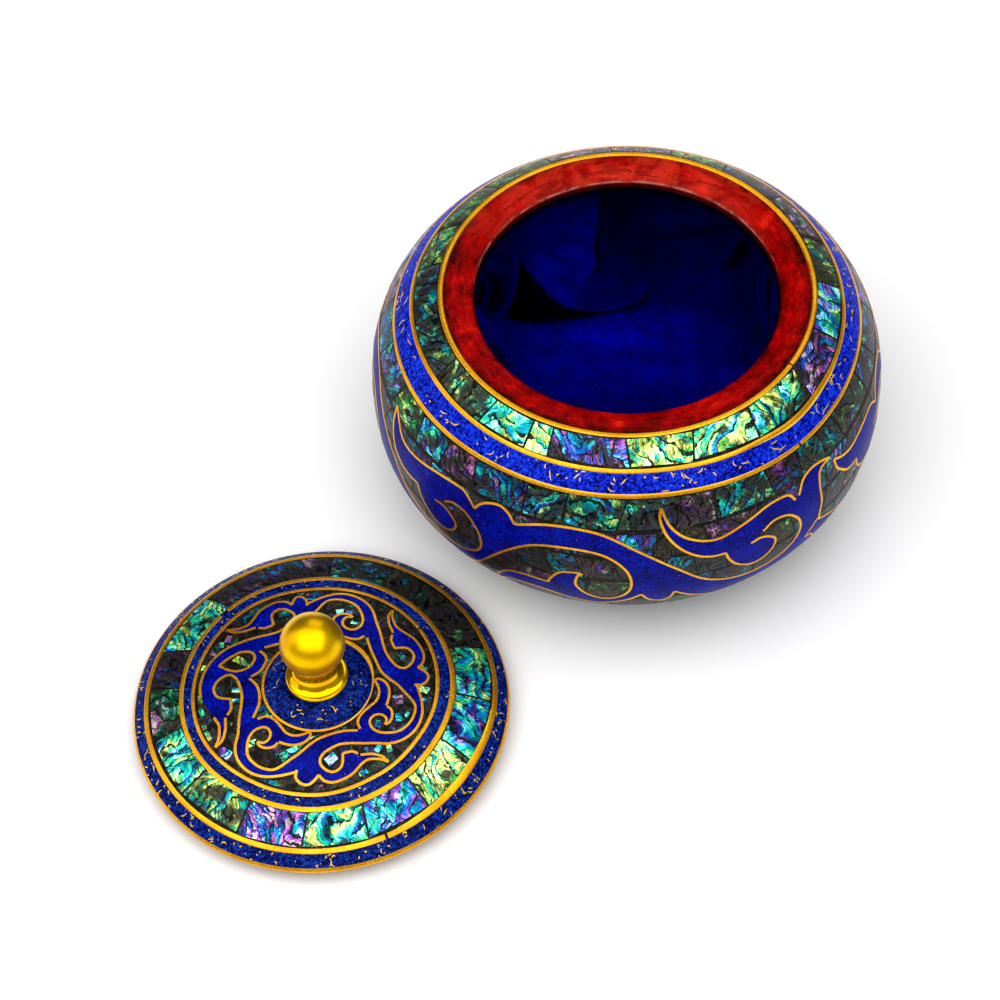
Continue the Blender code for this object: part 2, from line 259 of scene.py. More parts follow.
def spin_section(name, section, start=0.0, sweep=360.0, open_at_axis=False, steps=SPIN_STEPS, place=(0, 0)):
    """Turn a section of (radius, height) points about an upright axis, from a bearing round a sweep."""
    clear_selection()
    ends = "NOTHING" if sweep == 360.0 else "NGON"
    bpy.ops.mesh.primitive_circle_add(vertices=len(section), radius=MM, fill_type=ends)
    piece = bpy.context.object
    piece.name = piece.data.name = name
    azimuth = math.radians(start - 90)
    for vertex, (radius, height) in zip(piece.data.vertices, section):
        vertex.co = (place[0] + radius * math.cos(azimuth), place[1] + radius * math.sin(azimuth), height)
    bpy.ops.object.mode_set(mode="EDIT")
    if open_at_axis:
        bpy.ops.mesh.select_all(action="DESELECT")
        bpy.ops.object.mode_set(mode="OBJECT")
        last = len(section) - 1
        for edge in piece.data.edges:
            edge.select = set(edge.vertices) == {0, last}
        bpy.ops.object.mode_set(mode="EDIT")
        bpy.ops.mesh.select_mode(type="EDGE")
        bpy.ops.mesh.delete(type="EDGE")
    bpy.ops.mesh.select_mode(type="VERT")
    bpy.ops.mesh.select_all(action="SELECT")
    bpy.ops.mesh.spin(
        steps=max(2, round(steps * sweep / 360)),
        angle=math.radians(sweep),
        center=(place[0], place[1], 0),
        axis=(0, 0, 1),
    )
    bpy.ops.mesh.select_all(action="SELECT")
    bpy.ops.mesh.remove_doubles(threshold=0.001 * MM)
    face_outwards()
    return piece


def arc(centre, reach_out, reach_up, turns):
    """Points round a centre of (radius, height), at turns in degrees from straight out, growing upwards."""
    return [
        (centre[0] + reach_out * math.cos(turn), centre[1] + reach_up * math.sin(turn))
        for turn in np.radians(turns)
    ]


def shade(piece, angle=35):
    take_up(piece)
    bpy.ops.object.shade_smooth_by_angle(angle=math.radians(angle))


def soften_edges(piece, width, segments=2):
    take_up(piece)
    bevel = piece.modifiers.new("worn edges", "BEVEL")
    bevel.width = width
    bevel.segments = segments
    bevel.limit_method = "ANGLE"
    bevel.angle_limit = math.radians(WORN_ANGLE)
    bpy.ops.object.modifier_apply(modifier=bevel.name)


def thicken(piece, thickness):
    """Give a flat sheet its thickness, downwards."""
    body = piece.modifiers.new("thickness", "SOLIDIFY")
    body.thickness = thickness
    body.offset = -1.0
    bpy.ops.object.modifier_apply(modifier=body.name)


def points_of(mesh):
    points = np.empty(len(mesh.vertices) * 3)
    mesh.vertices.foreach_get("co", points)
    return points.reshape(-1, 3)


def lay_on(piece, ground):
    """Lay a piece that was cut flat onto the turned surface. Its height becomes the rise over it."""
    flat = points_of(piece.data)
    bearings = np.arctan2(flat[:, 0], -flat[:, 1])
    reaches = np.hypot(flat[:, 0], flat[:, 1]) - ground.hub
    laid = ground.place(bearings, reaches, flat[:, 2])
    piece.data.vertices.foreach_set("co", laid.ravel())
    piece.data.update()


def flat_point(ground, bearing, reach):
    """Where a bearing in degrees and a reach lie on the flat sheet."""
    turn = math.radians(bearing)
    return ((ground.hub + reach) * math.sin(turn), -(ground.hub + reach) * math.cos(turn))


def ring(name, ground, inner, outer, rise, rows=1, start=0.0, sweep=360.0, worn=0.0):
    """A band between two reaches, cut flat as a washer, its edges worn, and laid on the surface."""
    reaches = [inner + (outer - inner) * row / rows for row in range(rows + 1)]
    section = [(ground.hub + reach, rise) for reach in reaches]
    section += [(ground.hub + reach, rise - INLAY_THICKNESS) for reach in reversed(reaches)]
    piece = spin_section(name, section, start, sweep)
    if worn:
        soften_edges(piece, worn)
    lay_on(piece, ground)
    shade(piece)
    return piece


def wire_ring(name, ground, reach, width=WIRE_WIDTH, joint=None, gap=0.0):
    """A brass strip bent round at a reach, whose ends meet at a joint."""
    half = width / 2
    start = 0.0 if joint is None else joint + gap / 2
    return ring(name, ground, reach - half, reach + half, WIRE_RISE, rows=2, start=start,
                sweep=360.0 - gap, worn=0.1 * MM)


def finish_piece(piece, material, slot, *nodes):
    """Give a piece its finish, let it ride on the box, and hide the nodes that it stands for. The slot is not
    used.
    """
    piece.data.materials.clear()
    piece.data.materials.append(material)
    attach(piece, "root")
    if nodes:
        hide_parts(*nodes)


def turned_piece(name, section, angle, material, slot, node, **cut):
    """A piece from the lathe: its section spun, smoothed up to an angle, and finished."""
    piece = spin_section(name, section, **cut)
    shade(piece, angle)
    finish_piece(piece, material, slot, node)


def join(name, parts):
    take_up(parts[0])
    for part in parts[1:]:
        part.select_set(True)
    if len(parts) > 1:
        bpy.ops.object.join()
    parts[0].name = parts[0].data.name = name
    return parts[0]


# Finishes

class Finish:
    """A material of this box, with short calls for the nodes that make it."""

    def __init__(self, name):
        self.material = bpy.data.materials.new(name)
        self.material.use_nodes = True
        self.tree = self.material.node_tree
        self.shader = self.tree.nodes["Principled BSDF"]

    def put(self, socket, value):
        if isinstance(value, bpy.types.NodeSocket):
            self.tree.links.new(value, socket)
        elif isinstance(value, tuple) and len(value) == 3 and len(socket.default_value) == 4:
            socket.default_value = (*value, 1.0)
        else:
            socket.default_value = value

    def fill(self, node, inputs):
        for name, value in inputs.items():
            self.put(node.inputs[name.replace("_", " ")], value)

    def set(self, **inputs):
        self.fill(self.shader, inputs)

    def node(self, kind, settings=None, **inputs):
        made = self.tree.nodes.new("ShaderNode" + kind)
        for name, value in (settings or {}).items():
            setattr(made, name, value)
        self.fill(made, inputs)
        return made

    def place(self):
        """Where a point is on the piece, as it stands."""
        return self.node("TexCoord").outputs["Object"]

    def pair(self, kind, operation, first, second, clamp=False):
        settings = {"operation": operation}
        if clamp:
            settings["use_clamp"] = True
        made = self.node(kind, settings)
        self.put(made.inputs[0], first)
        self.put(made.inputs[1], second)
        return made.outputs[0]

    def math(self, operation, first, second=0.0, clamp=False):
        return self.pair("Math", operation, first, second, clamp)

    def minus(self, first, second):
        return self.math("SUBTRACT", first, second)

    def plus(self, total, *others):
        for other in others:
            total = self.math("ADD", total, other)
        return total

    def times(self, product, *others):
        for other in others:
            product = self.math("MULTIPLY", product, other)
        return product

    def swing(self, value, middle, amount):
        """How far a value is from its middle, as a share of the amount."""
        return self.times(self.minus(value, middle), amount)

    def scaled(self, vector, amount):
        made = self.node("VectorMath", {"operation": "SCALE"}, Scale=amount)
        self.put(made.inputs[0], vector)
        return made.outputs[0]

    def wandered(self, vector, waves, amount):
        """A place pushed about by waves of colour."""
        push = self.scaled(self.pair("VectorMath", "SUBTRACT", waves, (0.5, 0.5, 0.5)), amount)
        return self.pair("VectorMath", "ADD", vector, push)

    def parts(self, vector):
        return self.node("SeparateXYZ", Vector=vector).outputs

    def channels(self, colour):
        return self.node("SeparateColor", Color=colour).outputs

    def combined(self, x, y, z):
        return self.node("CombineXYZ", X=x, Y=y, Z=z).outputs[0]

    def grey(self, value):
        return self.node("CombineColor", Red=value, Green=value, Blue=value).outputs[0]

    def noise(self, vector, scale, detail=2.0, roughness=0.5, distortion=0.0, output="Fac"):
        made = self.node("TexNoise", Vector=vector, Scale=scale, Detail=detail, Roughness=roughness,
                         Distortion=distortion)
        return made.outputs[output]

    def between(self, value, low, high, to_low=0.0, to_high=1.0, smooth=False):
        kind = "SMOOTHSTEP" if smooth else "LINEAR"
        made = self.node("MapRange", {"interpolation_type": kind}, Value=value)
        for socket, number in zip(made.inputs[1:5], (low, high, to_low, to_high)):
            self.put(socket, number)
        return made.outputs[0]

    def dots(self, vector, scale, core, edge, channel, over, strength=1.0):
        """Dots in some cells of a pattern: those whose random colour is over a share in one channel."""
        cells = self.node("TexVoronoi", Vector=vector, Scale=scale)
        near = self.between(cells.outputs["Distance"], core, edge, strength, 0.0)
        chosen = self.math("GREATER_THAN", self.channels(cells.outputs["Color"])[channel], over)
        return self.times(near, chosen)

    def ramp(self, value, stops):
        made = self.node("ValToRGB", Fac=value)
        elements = made.color_ramp.elements
        while len(elements) < len(stops):
            elements.new(0.5)
        for element, (place, _) in zip(elements, stops):
            element.position = place
        for element, (_, colour) in zip(elements, stops):
            element.color = (*colour, 1.0)
        return made.outputs[0]

    def blend(self, amount, first, second, kind="MIX"):
        made = self.node("Mix", {"data_type": "RGBA", "blend_type": kind})
        self.put(made.inputs[0], amount)
        self.put(made.inputs[6], first)
        self.put(made.inputs[7], second)
        return made.outputs[2]

    def bump(self, height, distance, strength):
        made = self.node("Bump", Height=height, Distance=distance, Strength=strength)
        self.put(self.shader.inputs["Normal"], made.outputs[0])


def tinted(colour, *shares):
    return tuple(part * share for part, share in zip(colour, shares))


ABALONE_COLOURS = [
    (0.00, (0.002, 0.075, 0.035)), (0.08, (0.004, 0.30, 0.12)), (0.16, (0.04, 0.60, 0.12)),
    (0.24, (0.50, 0.78, 0.08)), (0.31, (0.85, 0.80, 0.25)), (0.38, (0.08, 0.72, 0.28)),
    (0.47, (0.0, 0.62, 0.46)), (0.56, (0.0, 0.44, 0.74)), (0.65, (0.01, 0.12, 0.64)),
    (0.73, (0.13, 0.045, 0.42)), (0.80, (0.52, 0.13, 0.55)), (0.86, (0.86, 0.42, 0.46)),
    (0.93, (0.09, 0.40, 0.34)), (1.00, (0.002, 0.075, 0.035)),
]


def abalone():
    """Polished shell: layers of colour with dark growth lines, each slip with a tone of its own, and painted
    sheen and highlights.
    """
    finish = Finish("abalone")
    slip = finish.node("UVMap", {"uv_map": "slip"}).outputs[0]
    tone = finish.node("Attribute", {"attribute_name": "tone"}).outputs
    hue, lustre_and_painted_light, dark = finish.channels(tone["Color"])
    layering = tone["Alpha"]

    # The layers wander in long waves with small crinkles
    warped = finish.wandered(slip, finish.noise(slip, 0.085, 1.0, output="Color"), 16.0)
    warped = finish.wandered(warped, finish.noise(slip, 0.42, 2.0, 0.55, output="Color"), 3.2)
    along, across, _ = finish.parts(warped)
    step = finish.math("FRACT", finish.times(across, layering))

    # Dark growth lines between the layers, now thick and now a hair
    near = finish.minus(0.5, finish.math("ABSOLUTE", finish.minus(step, 0.5)))
    thick = finish.noise(slip, 0.34, 2.0, 0.6)
    width = finish.times(finish.between(thick, 0.38, 0.64, 0.03, 0.52), layering)
    line = finish.between(near, finish.times(width, 0.45), width, 1.0, 0.0, smooth=True)

    # Colours that follow the layers and drift along them
    stretched = finish.combined(finish.times(along, 0.22), finish.times(across, 0.42), 3.0)
    drift = finish.swing(finish.noise(stretched, 1.0), 0.5, 1.15)
    place = finish.plus(finish.times(step, 0.10), drift, hue)
    colour = finish.ramp(finish.math("FRACT", place), ABALONE_COLOURS)

    # Lustre and painted sheen: each layer is bright at its edge, with silky flames across it, scaled by each
    # slip's lustre; the brightest places are whitened as a painted highlight
    silk = finish.combined(finish.times(along, 1.9), finish.times(across, 0.55), 7.0)
    flame = finish.noise(silk, 1.0, 3.0, 0.62)
    glow = finish.noise(slip, 0.20)
    light = finish.times(
        finish.between(flame, 0.37, 0.63, 0.10, 1.55),
        finish.between(glow, 0.36, 0.60, 0.35, 1.25),
        finish.between(step, 0.0, 1.0, 1.25, 0.55),
        lustre_and_painted_light,
    )
    lit = finish.blend(1.0, colour, finish.grey(light), "MULTIPLY")
    pearl_highlight = finish.between(light, 1.35, 2.6, 0.0, 0.72)
    lit = finish.blend(pearl_highlight, lit, (0.92, 0.95, 0.70))

    # Dull brown patches, more of them on the slips set darker at the back as painted shade, and the lines
    # over all
    patches = finish.noise(slip, 0.24, 3.0, 0.6)
    dull_and_shade = finish.between(finish.plus(patches, dark), 0.95, 1.05, 0.0, 0.92, smooth=True)
    hairs = finish.noise(finish.scaled(silk, 2.6), 1.0, 3.0, 0.6)
    brown = finish.ramp(hairs, [
        (0.36, (0.006, 0.004, 0.003)), (0.52, (0.034, 0.025, 0.021)), (0.68, (0.13, 0.10, 0.09)),
    ])
    lit = finish.blend(dull_and_shade, lit, brown)
    lit = finish.blend(finish.times(line, 0.97), lit, (0.003, 0.0025, 0.002))
    finish.set(Base_Color=lit, Metallic=0.45, Roughness=0.34, Specular_IOR_Level=0.14, Coat_Weight=0.07,
               Coat_Roughness=0.06)
    finish.bump(finish.minus(flame, finish.times(line, 0.6)), 0.08 * MM, 0.6)
    return finish.material


def lapis(name, speck_size, deep, bright, coarse, mottled):
    """Lapis grit in clear resin, with black specks, deeper and brighter grains and some clouding."""
    finish = Finish(name)
    place = finish.place()
    grains = finish.node("TexVoronoi", Vector=place, Scale=1 / speck_size, Randomness=1.0)
    grain = finish.channels(grains.outputs["Color"])[0]
    clouds = finish.noise(place, 1 / (5 * MM), 3.0, 0.6)
    fine = finish.noise(place, 1 / (0.25 * MM), 2.0, 0.6)
    lumps = finish.noise(place, 1 / (0.85 * MM), 3.0, 0.7)
    value = finish.plus(
        finish.times(grain, coarse * 0.7),
        finish.swing(fine, 0.5, 1.3),
        finish.swing(lumps, 0.44, mottled),
    )
    value = finish.math("ADD", value, finish.swing(clouds, 0.45, 0.7), clamp=True)
    colour = finish.ramp(value, [
        (0.00, (0.0, 0.0, 0.006)),
        (0.14, (0.0, 0.001, deep * 0.5)),
        (0.34, (0.0, 0.004, deep)),
        (0.62, (0.001, 0.014, bright)),
        (1.00, (0.012, 0.07, min(1.0, bright * 1.35))),
    ])
    gold = finish.dots(place, 1 / (1.5 * MM), 0.05, 0.085, 2, 0.62)
    colour = finish.blend(gold, colour, (0.55, 0.36, 0.10))
    finish.set(Base_Color=colour, Roughness=0.36, Specular_IOR_Level=0.04, Coat_Weight=0.05,
               Coat_Roughness=0.07)
    finish.bump(fine, 0.02 * MM, 0.4)
    return finish.material


def brass(name, colour, roughness, metal, satin_from=0.0, satin=0.0):
    """Brass with fine filing marks and a little dullness: flecked, or polished and satin above a height."""
    finish = Finish(name)
    place = finish.place()
    marks = finish.noise(place, 1 / (0.35 * MM), 3.0, 0.65)
    tarnish = finish.between(finish.noise(place, 1 / (9 * MM)), 0.40, 0.72)
    worn = finish.blend(tarnish, colour, tinted(colour, 0.80, 0.66, 0.50))
    if satin:
        height = finish.parts(place)[2]
        low, high = satin_from - 0.5 * MM, satin_from + 0.5 * MM
        rough = finish.between(height, low, high, roughness, satin)
        spread, mark_depth = 0.06, 0.004 * MM
    else:
        flecks = finish.between(marks, 0.36, 0.48, 0.75, 0.0)
        worn = finish.blend(flecks, worn, tinted(colour, 0.50, 0.34, 0.25))
        rough, spread, mark_depth = roughness, 0.28, 0.015 * MM
    rough = finish.times(rough, finish.between(marks, 0.3, 0.7, 1 - spread, 1 + spread))
    finish.set(Base_Color=worn, Metallic=metal, Specular_IOR_Level=0.1, Roughness=rough)
    finish.bump(marks, mark_depth, 0.5)
    return finish.material


def red_lacquer():
    """Deep red lacquer over turned wood, cloudy and speckled, with a painted highlight at the lip, painted
    shade under it and painted glare at the back.
    """
    finish = Finish("red lacquer")
    place = finish.place()
    x, y, height = finish.parts(place)
    length = finish.node("VectorMath", {"operation": "LENGTH"})
    finish.put(length.inputs[0], finish.combined(x, y, 0.0))
    radius = length.outputs["Value"]
    bearing = finish.math("ARCTAN2", x, y)

    def brushed_round(across, turns, down):
        """A place drawn out along the turning of the lathe."""
        return finish.combined(finish.times(radius, 1 / across), finish.times(bearing, turns),
                               finish.times(height, 1 / down))

    brushed = brushed_round(0.75 * MM, 14.0, 0.9 * MM)
    streaks = finish.noise(brushed, 1.0, 4.0, 0.65, 0.6)
    patches = finish.noise(place, 1 / (8 * MM), 3.0, 0.6, 0.6)
    speckle = finish.noise(place, 1 / (0.34 * MM), 2.0, 0.7)
    middle = finish.math("ABSOLUTE", finish.minus(radius, OPENING_RADIUS + 3.2 * MM))

    # A slightly lighter patch at the left, with a ragged edge
    ragged = finish.plus(bearing, finish.swing(patches, 0.5, 0.25))
    left_patch = finish.times(finish.between(ragged, math.radians(-90), math.radians(-87.5), 1.0, 0.0),
                         finish.between(ragged, math.radians(-140), math.radians(-112)))
    # The red's lightness: streaks, patches and speckle, a little lighter towards the back as painted glare,
    # lighter along the middle of the rim and darker towards the wire and the lip, a shade lighter at the
    # front, and the left patch
    value = finish.plus(
        finish.times(streaks, 0.40),
        finish.times(patches, 0.50),
        finish.swing(speckle, 0.5, 0.26),
        finish.between(y, 8 * MM, 42 * MM, 0.075, 0.095),
        finish.between(middle, 1.4 * MM, 4.6 * MM, 0.05, -0.10, smooth=True),
        finish.between(y, -42 * MM, -24 * MM, 0.016, 0.0),
        finish.times(left_patch, 0.018),
    )
    colour = finish.ramp(value, [
        (0.38, (0.012, 0.0, 0.0)),
        (0.47, (0.10, 0.0002, 0.0001)),
        (0.56, (0.27, 0.0004, 0.0003)),
        (0.65, (0.46, 0.0016, 0.0008)),
        (0.76, (0.76, 0.03, 0.006)),
    ])

    # Painted glare: towards the back the lacquer is painted orange where it catches the light from behind,
    # with darker islands among it
    back = finish.between(y, 12 * MM, 36 * MM)
    glare_noise = finish.noise(place, 1 / (7 * MM), 4.0, 0.6, 0.5)
    painted_glare = finish.times(finish.between(glare_noise, 0.40, 0.54, 0.08, 0.55), back)
    colour = finish.blend(painted_glare, colour, (0.62, 0.045, 0.018))
    islands = finish.noise(brushed, 0.22, 4.0, 0.62, 0.8)
    islands = finish.times(finish.between(islands, 0.54, 0.565, 0.0, 0.55), back)
    colour = finish.blend(islands, colour, (0.16, 0.002, 0.001))
    specks = finish.dots(brushed_round(1.1 * MM, 22.0, 1.1 * MM), 1.0, 0.10, 0.17, 1, 0.5)
    colour = finish.blend(specks, colour, (0.010, 0.001, 0.001))

    # Painted highlight: the lip's edge is painted pale in places at the back, and painted shade darkens the
    # wall under it
    lip_top = BOWL_HEIGHT - RIM_FALL
    highlight_noise = finish.noise(brushed, 0.55, 3.0, 0.7)
    lip_highlight = finish.times(
        finish.between(radius, OPENING_RADIUS + 0.15 * MM, OPENING_RADIUS + 0.5 * MM, 1.0, 0.0),
        finish.between(height, lip_top - 0.75 * MM, lip_top - 0.45 * MM),
        finish.between(highlight_noise, 0.44, 0.56, 0.05, 0.6),
        finish.between(y, 0.0, 22 * MM),
    )
    # Painted shade under the lip: the inner wall there is darkened towards black
    under = finish.between(height, lip_top - 1.1 * MM, lip_top - 0.6 * MM, 0.75, 0.0)
    inside = finish.math("LESS_THAN", radius, OPENING_RADIUS + 0.3 * MM)
    colour = finish.blend(finish.times(under, inside), colour, (0.02, 0.0, 0.0))
    colour = finish.blend(lip_highlight, colour, (0.62, 0.30, 0.25))
    finish.set(Base_Color=colour, Roughness=finish.between(patches, 0.35, 0.65, 0.46, 0.26),
               Specular_IOR_Level=0.02, Coat_Weight=0.035, Coat_Roughness=0.06)
    finish.bump(finish.plus(finish.times(streaks, 0.6), finish.times(speckle, 0.5)), 0.12 * MM, 0.5)
    return finish.material


def black_filler():
    """Black resin with pale and brown grit, ground flush."""
    finish = Finish("black filler")
    place = finish.place()
    grit = finish.noise(place, 1 / (0.32 * MM), 3.0, 0.7)
    clouds = finish.noise(place, 1 / (2.6 * MM), 3.0, 0.6)
    colour = finish.ramp(finish.plus(finish.times(grit, 0.6), finish.times(clouds, 0.4)), [
        (0.42, (0.002, 0.002, 0.002)),
        (0.53, (0.014, 0.010, 0.008)),
        (0.62, (0.085, 0.062, 0.047)),
        (0.72, (0.28, 0.22, 0.17)),
    ])
    finish.set(Base_Color=colour, Roughness=0.42, Specular_IOR_Level=0.10, Coat_Weight=0.04,
               Coat_Roughness=0.08)
    finish.bump(grit, 0.03 * MM, 0.5)
    return finish.material


def blue_velvet():
    """Deep blue velvet with a short pile, lighter and darker by its folds as painted light and shade, and a
    little lint.
    """
    finish = Finish("blue velvet")
    place = finish.place()
    pile = finish.noise(place, 1 / (0.30 * MM), 3.0, 0.75)
    brushed = finish.noise(place, 1 / (5 * MM), 3.0, 0.55)
    colour = finish.ramp(finish.plus(finish.times(pile, 0.75), finish.times(brushed, 0.25)), [
        (0.37, (0.0, 0.0, 0.08)),
        (0.50, (0.0, 0.0005, 0.28)),
        (0.63, (0.0008, 0.003, 0.66)),
    ])
    # The pile's lie and the painted light and shade of the folds, from the cloth's attribute, multiplied into
    # the colour
    nap_and_painted_light = finish.node("Attribute", {"attribute_name": "nap_and_painted_light"}).outputs["Fac"]
    colour = finish.blend(1.0, colour, finish.grey(nap_and_painted_light), "MULTIPLY")
    lint = finish.dots(place, 1 / (2.4 * MM), 0.03, 0.055, 0, 0.78, 0.35)
    colour = finish.blend(lint, colour, (0.12, 0.16, 0.75))
    finish.set(Base_Color=colour, Roughness=1.0, Specular_IOR_Level=0.02, Sheen_Weight=0.10,
               Sheen_Roughness=0.4, Sheen_Tint=(0.01, 0.02, 0.8))
    finish.bump(pile, 0.12 * MM, 0.6)
    return finish.material


# Bowl

def make_bowl_body(lacquer):
    """The turned wood: floor, inner wall, lip, sloping rim, seat of the inlay, bare foot and underside."""
    inner_radii, inner_heights = bowl_curve(WALL_THICKNESS)
    keep = (inner_heights > FLOOR_THICKNESS) & (inner_radii > OPENING_RADIUS)
    wall = list(zip(inner_radii[keep], inner_heights[keep]))[::-12]
    lip_top = BOWL_HEIGHT - RIM_FALL
    lip_centre = (OPENING_RADIUS + LIP_ROUNDING, lip_top - LIP_ROUNDING)
    lip = arc(lip_centre, LIP_ROUNDING, LIP_ROUNDING, np.linspace(180, 90, 6))
    rim_outer = RIM_RADIUS - WIRE_WIDTH
    crown = [
        (lip[-1][0] + (rim_outer - lip[-1][0]) * share,
         lip_top + (BOWL_HEIGHT - 0.25 * MM - lip_top) * share + 0.25 * MM * math.sin(math.pi * share))
        for share in np.linspace(0.12, 1.0, 9)
    ]
    seat_radii, seat_heights = bowl_curve(SEAT_DEPTH)
    seats = [(rim_outer, seat_heights[0])]
    rows = (seat_heights > FOOT_TOP) & (seat_heights < BOWL_HEIGHT - SEAT_DEPTH)
    seats += list(zip(seat_radii[rows], seat_heights[rows]))[::14]
    foot_radii, foot_heights = bowl_curve()
    low = foot_heights <= FOOT_TOP - 0.1 * MM
    foot = list(zip(foot_radii[low], foot_heights[low]))[::8]
    edge = 0.6 * MM
    under = arc((BASE_RADIUS - edge, edge), edge, edge, np.linspace(-11.459, -90, 5))
    bottom = [(BASE_RADIUS * 0.6, 0.0), (0.0, 0.0)]
    foot = [point for point in foot if point[1] > edge * 0.9]
    section = [(0.0, FLOOR_THICKNESS), (wall[0][0] * 0.6, FLOOR_THICKNESS)] + wall
    section += [(OPENING_RADIUS, wall[-1][1])] + lip + crown + seats + foot + under + bottom
    turned_piece("bowl_body", section, 40, lacquer, "red_lacquer", "bowl_core", open_at_axis=True)


# Folds of the velvet, each a line of (across, down, height in mm) on the picture that the camera takes,
# after its name and how far the cloth falls away from it to either side, in pixels. A line that runs down
# the picture falls to the right by its first width and to the left by its second.
VELVET_FOLDS = [
    ("panel edge", 2.2, 75, [
        (599, 187, 6), (598, 208, 7), (597, 228, 7), (593, 243, 7), (592, 252, 6), (596, 262, 5),
        (590, 273, 3), (580, 283, 1.5),
    ]),
    ("panel foot", 36, 3.2, [
        (525, 278, 1), (542, 295, 4), (558, 305, 5), (577, 310, 5.5), (594, 310, 5.5), (616, 307, 5),
        (634, 302, 4), (644, 295, 2.5), (650, 286, 1),
    ]),
    ("gap beside the panel", 8, 8, [(520, 270, -1), (526, 286, -4), (542, 308, -4), (563, 318, -3)]),
    ("bulge under the panel", 22, 22, [(600, 280, 1.0), (618, 284, 2.5), (636, 280, 1.0)]),
    ("back of the floor", 2.2, 45, [
        (492, 325, 1.5), (525, 324, 2.5), (558, 322, 3), (581, 317, 3.5), (603, 312.5, 3.5),
        (625, 310, 3), (640, 305.5, 2), (651, 304, 0.5),
    ]),
    ("left roll", 1.8, 13, [
        (496, 240, 5), (511, 248.5, 6), (516, 258, 7), (517.3, 269, 7), (515.5, 282, 7), (512.7, 293, 6),
        (508, 306, 5), (501, 316, 3),
    ]),
    ("left hollow", 9, 9, [(490, 284, -2), (492, 300, -2.5), (488, 312, -1)]),
    ("small roll", 1.6, 3.5, [
        (480, 272, 3), (485.6, 278, 4), (488.2, 286.5, 4), (486.5, 297, 4), (482, 306, 2),
    ]),
    ("right crease", 14, 1.9, [
        (662, 235.5, 1), (673, 237.2, 2.5), (690, 234, 3.5), (707, 229, 3.5), (729, 222.5, 3.5),
    ]),
    ("back swell", 9, 9, [(629, 237, 0.5), (655, 228, 2), (688, 222.5, 2.5), (716, 216, 2)]),
    ("right fold", 3.0, 3.6, [(744, 226, 3), (739, 236.5, 3.8), (732, 248.5, 3.2), (723.5, 258, 1.5)]),
    ("right valley", 5, 5, [(731, 233, -1), (727, 243, -2), (720, 252, -1)]),
    ("outer pleat", 2.2, 2.6, [(760.5, 245, 2), (758.3, 267, 2.5), (759.3, 295, 2.5), (761, 321, 1)]),
    ("middle pleat", 5.5, 1.7, [
        (766.3, 260, 3), (764, 282, 4), (764.7, 304, 4), (768, 330, 3), (770.6, 345, 1),
    ]),
    ("inner pleat", 13, 1.6, [
        (777, 278, 4), (772.8, 295, 5), (772, 312.5, 5), (772.4, 330, 4), (774.5, 338.5, 2),
    ]),
    ("front left flap", 1.8, 26, [
        (474.7, 305, 6), (488, 324.4, 7), (503.4, 343.3, 7), (518.6, 363.5, 7), (535, 384.5, 6),
    ]),
    ("flap pleat", 1.5, 1.5, [(490, 338.5, 0.4), (496, 345, 1), (503.4, 356, 1.5), (506.6, 361.3, 0.6)]),
    ("front right crease", 1.8, 1.8, [(738.7, 349.4, 0.8), (741.6, 358, 1.4), (744.6, 370, 0.8)]),
]

# Where the pile turns another way and where light and shade are painted on the cloth, laid one over the
# other:
# the floor, the panel and the rolls painted lighter, painted shadow in the gap, the hollows and behind the
# right fold. Name, lightness, softness of the edge in pixels, outline
VELVET_PILE_AND_PAINTED_LIGHT = [
    ("floor", 0.72, 14, [
        (480, 332), (500, 322), (530, 324), (560, 321), (585, 316.5), (610, 312.5), (634, 309),
        (662, 306), (700, 318), (740, 332), (762, 350), (748, 382), (700, 410), (640, 422), (580, 412),
        (535, 392), (505, 362),
    ]),
    ("panel", 0.8, 1.8, [
        (500, 226), (515, 212), (530, 203), (560, 190), (599.5, 184), (598.5, 208), (597.5, 228),
        (593.5, 243), (592.5, 252), (596.5, 262), (594.5, 270), (588, 277), (582, 287), (577, 300),
        (578, 313), (566, 307.5), (550, 297), (536, 281), (526, 269), (519, 256), (512, 240),
    ]),
    ("panel foot", 0.4, 5, [
        (582, 285), (600, 281), (625, 281), (650, 284), (648, 296), (634, 307), (600, 311), (580, 313),
        (575, 303),
    ]),
    ("gap beside the panel", 0.0, 1.6, [
        (518, 256), (526, 269), (536, 281), (550, 297), (566, 307.5), (590, 312), (620, 309.5),
        (637, 305), (647, 296), (651, 297), (643, 306), (628, 311.5), (600, 314.5), (585, 318.5),
        (560, 322.5), (535, 324), (518, 322), (505, 318), (510, 306), (516, 288),
    ]),
    ("left roll", 0.5, 1.4, [
        (486, 246), (497, 239), (505, 241), (513, 248), (517, 262), (517, 280), (513, 298), (507, 311),
        (500, 318), (486, 316), (478, 290), (476, 268),
    ]),
    ("left hollow", 0.05, 4, [
        (480, 274), (490, 271), (500, 276), (503, 288), (499, 303), (492, 316), (484, 312), (487, 298),
        (489, 287), (486, 279),
    ]),
    ("small roll", 0.03, 1.4, [(470, 274), (480, 274), (486, 281), (487.5, 290), (484, 303), (474, 309)]),
    ("front left flap", 0.5, 1.5, [
        (470, 304), (476, 308), (487, 322), (502, 341), (517, 361), (534, 383), (530, 392), (500, 372),
        (476, 330),
    ]),
    ("behind the right fold", 0.05, 3.5, [
        (748, 231), (753, 244), (747, 258), (736, 268), (722, 269), (731, 256), (739, 243),
    ]),
]

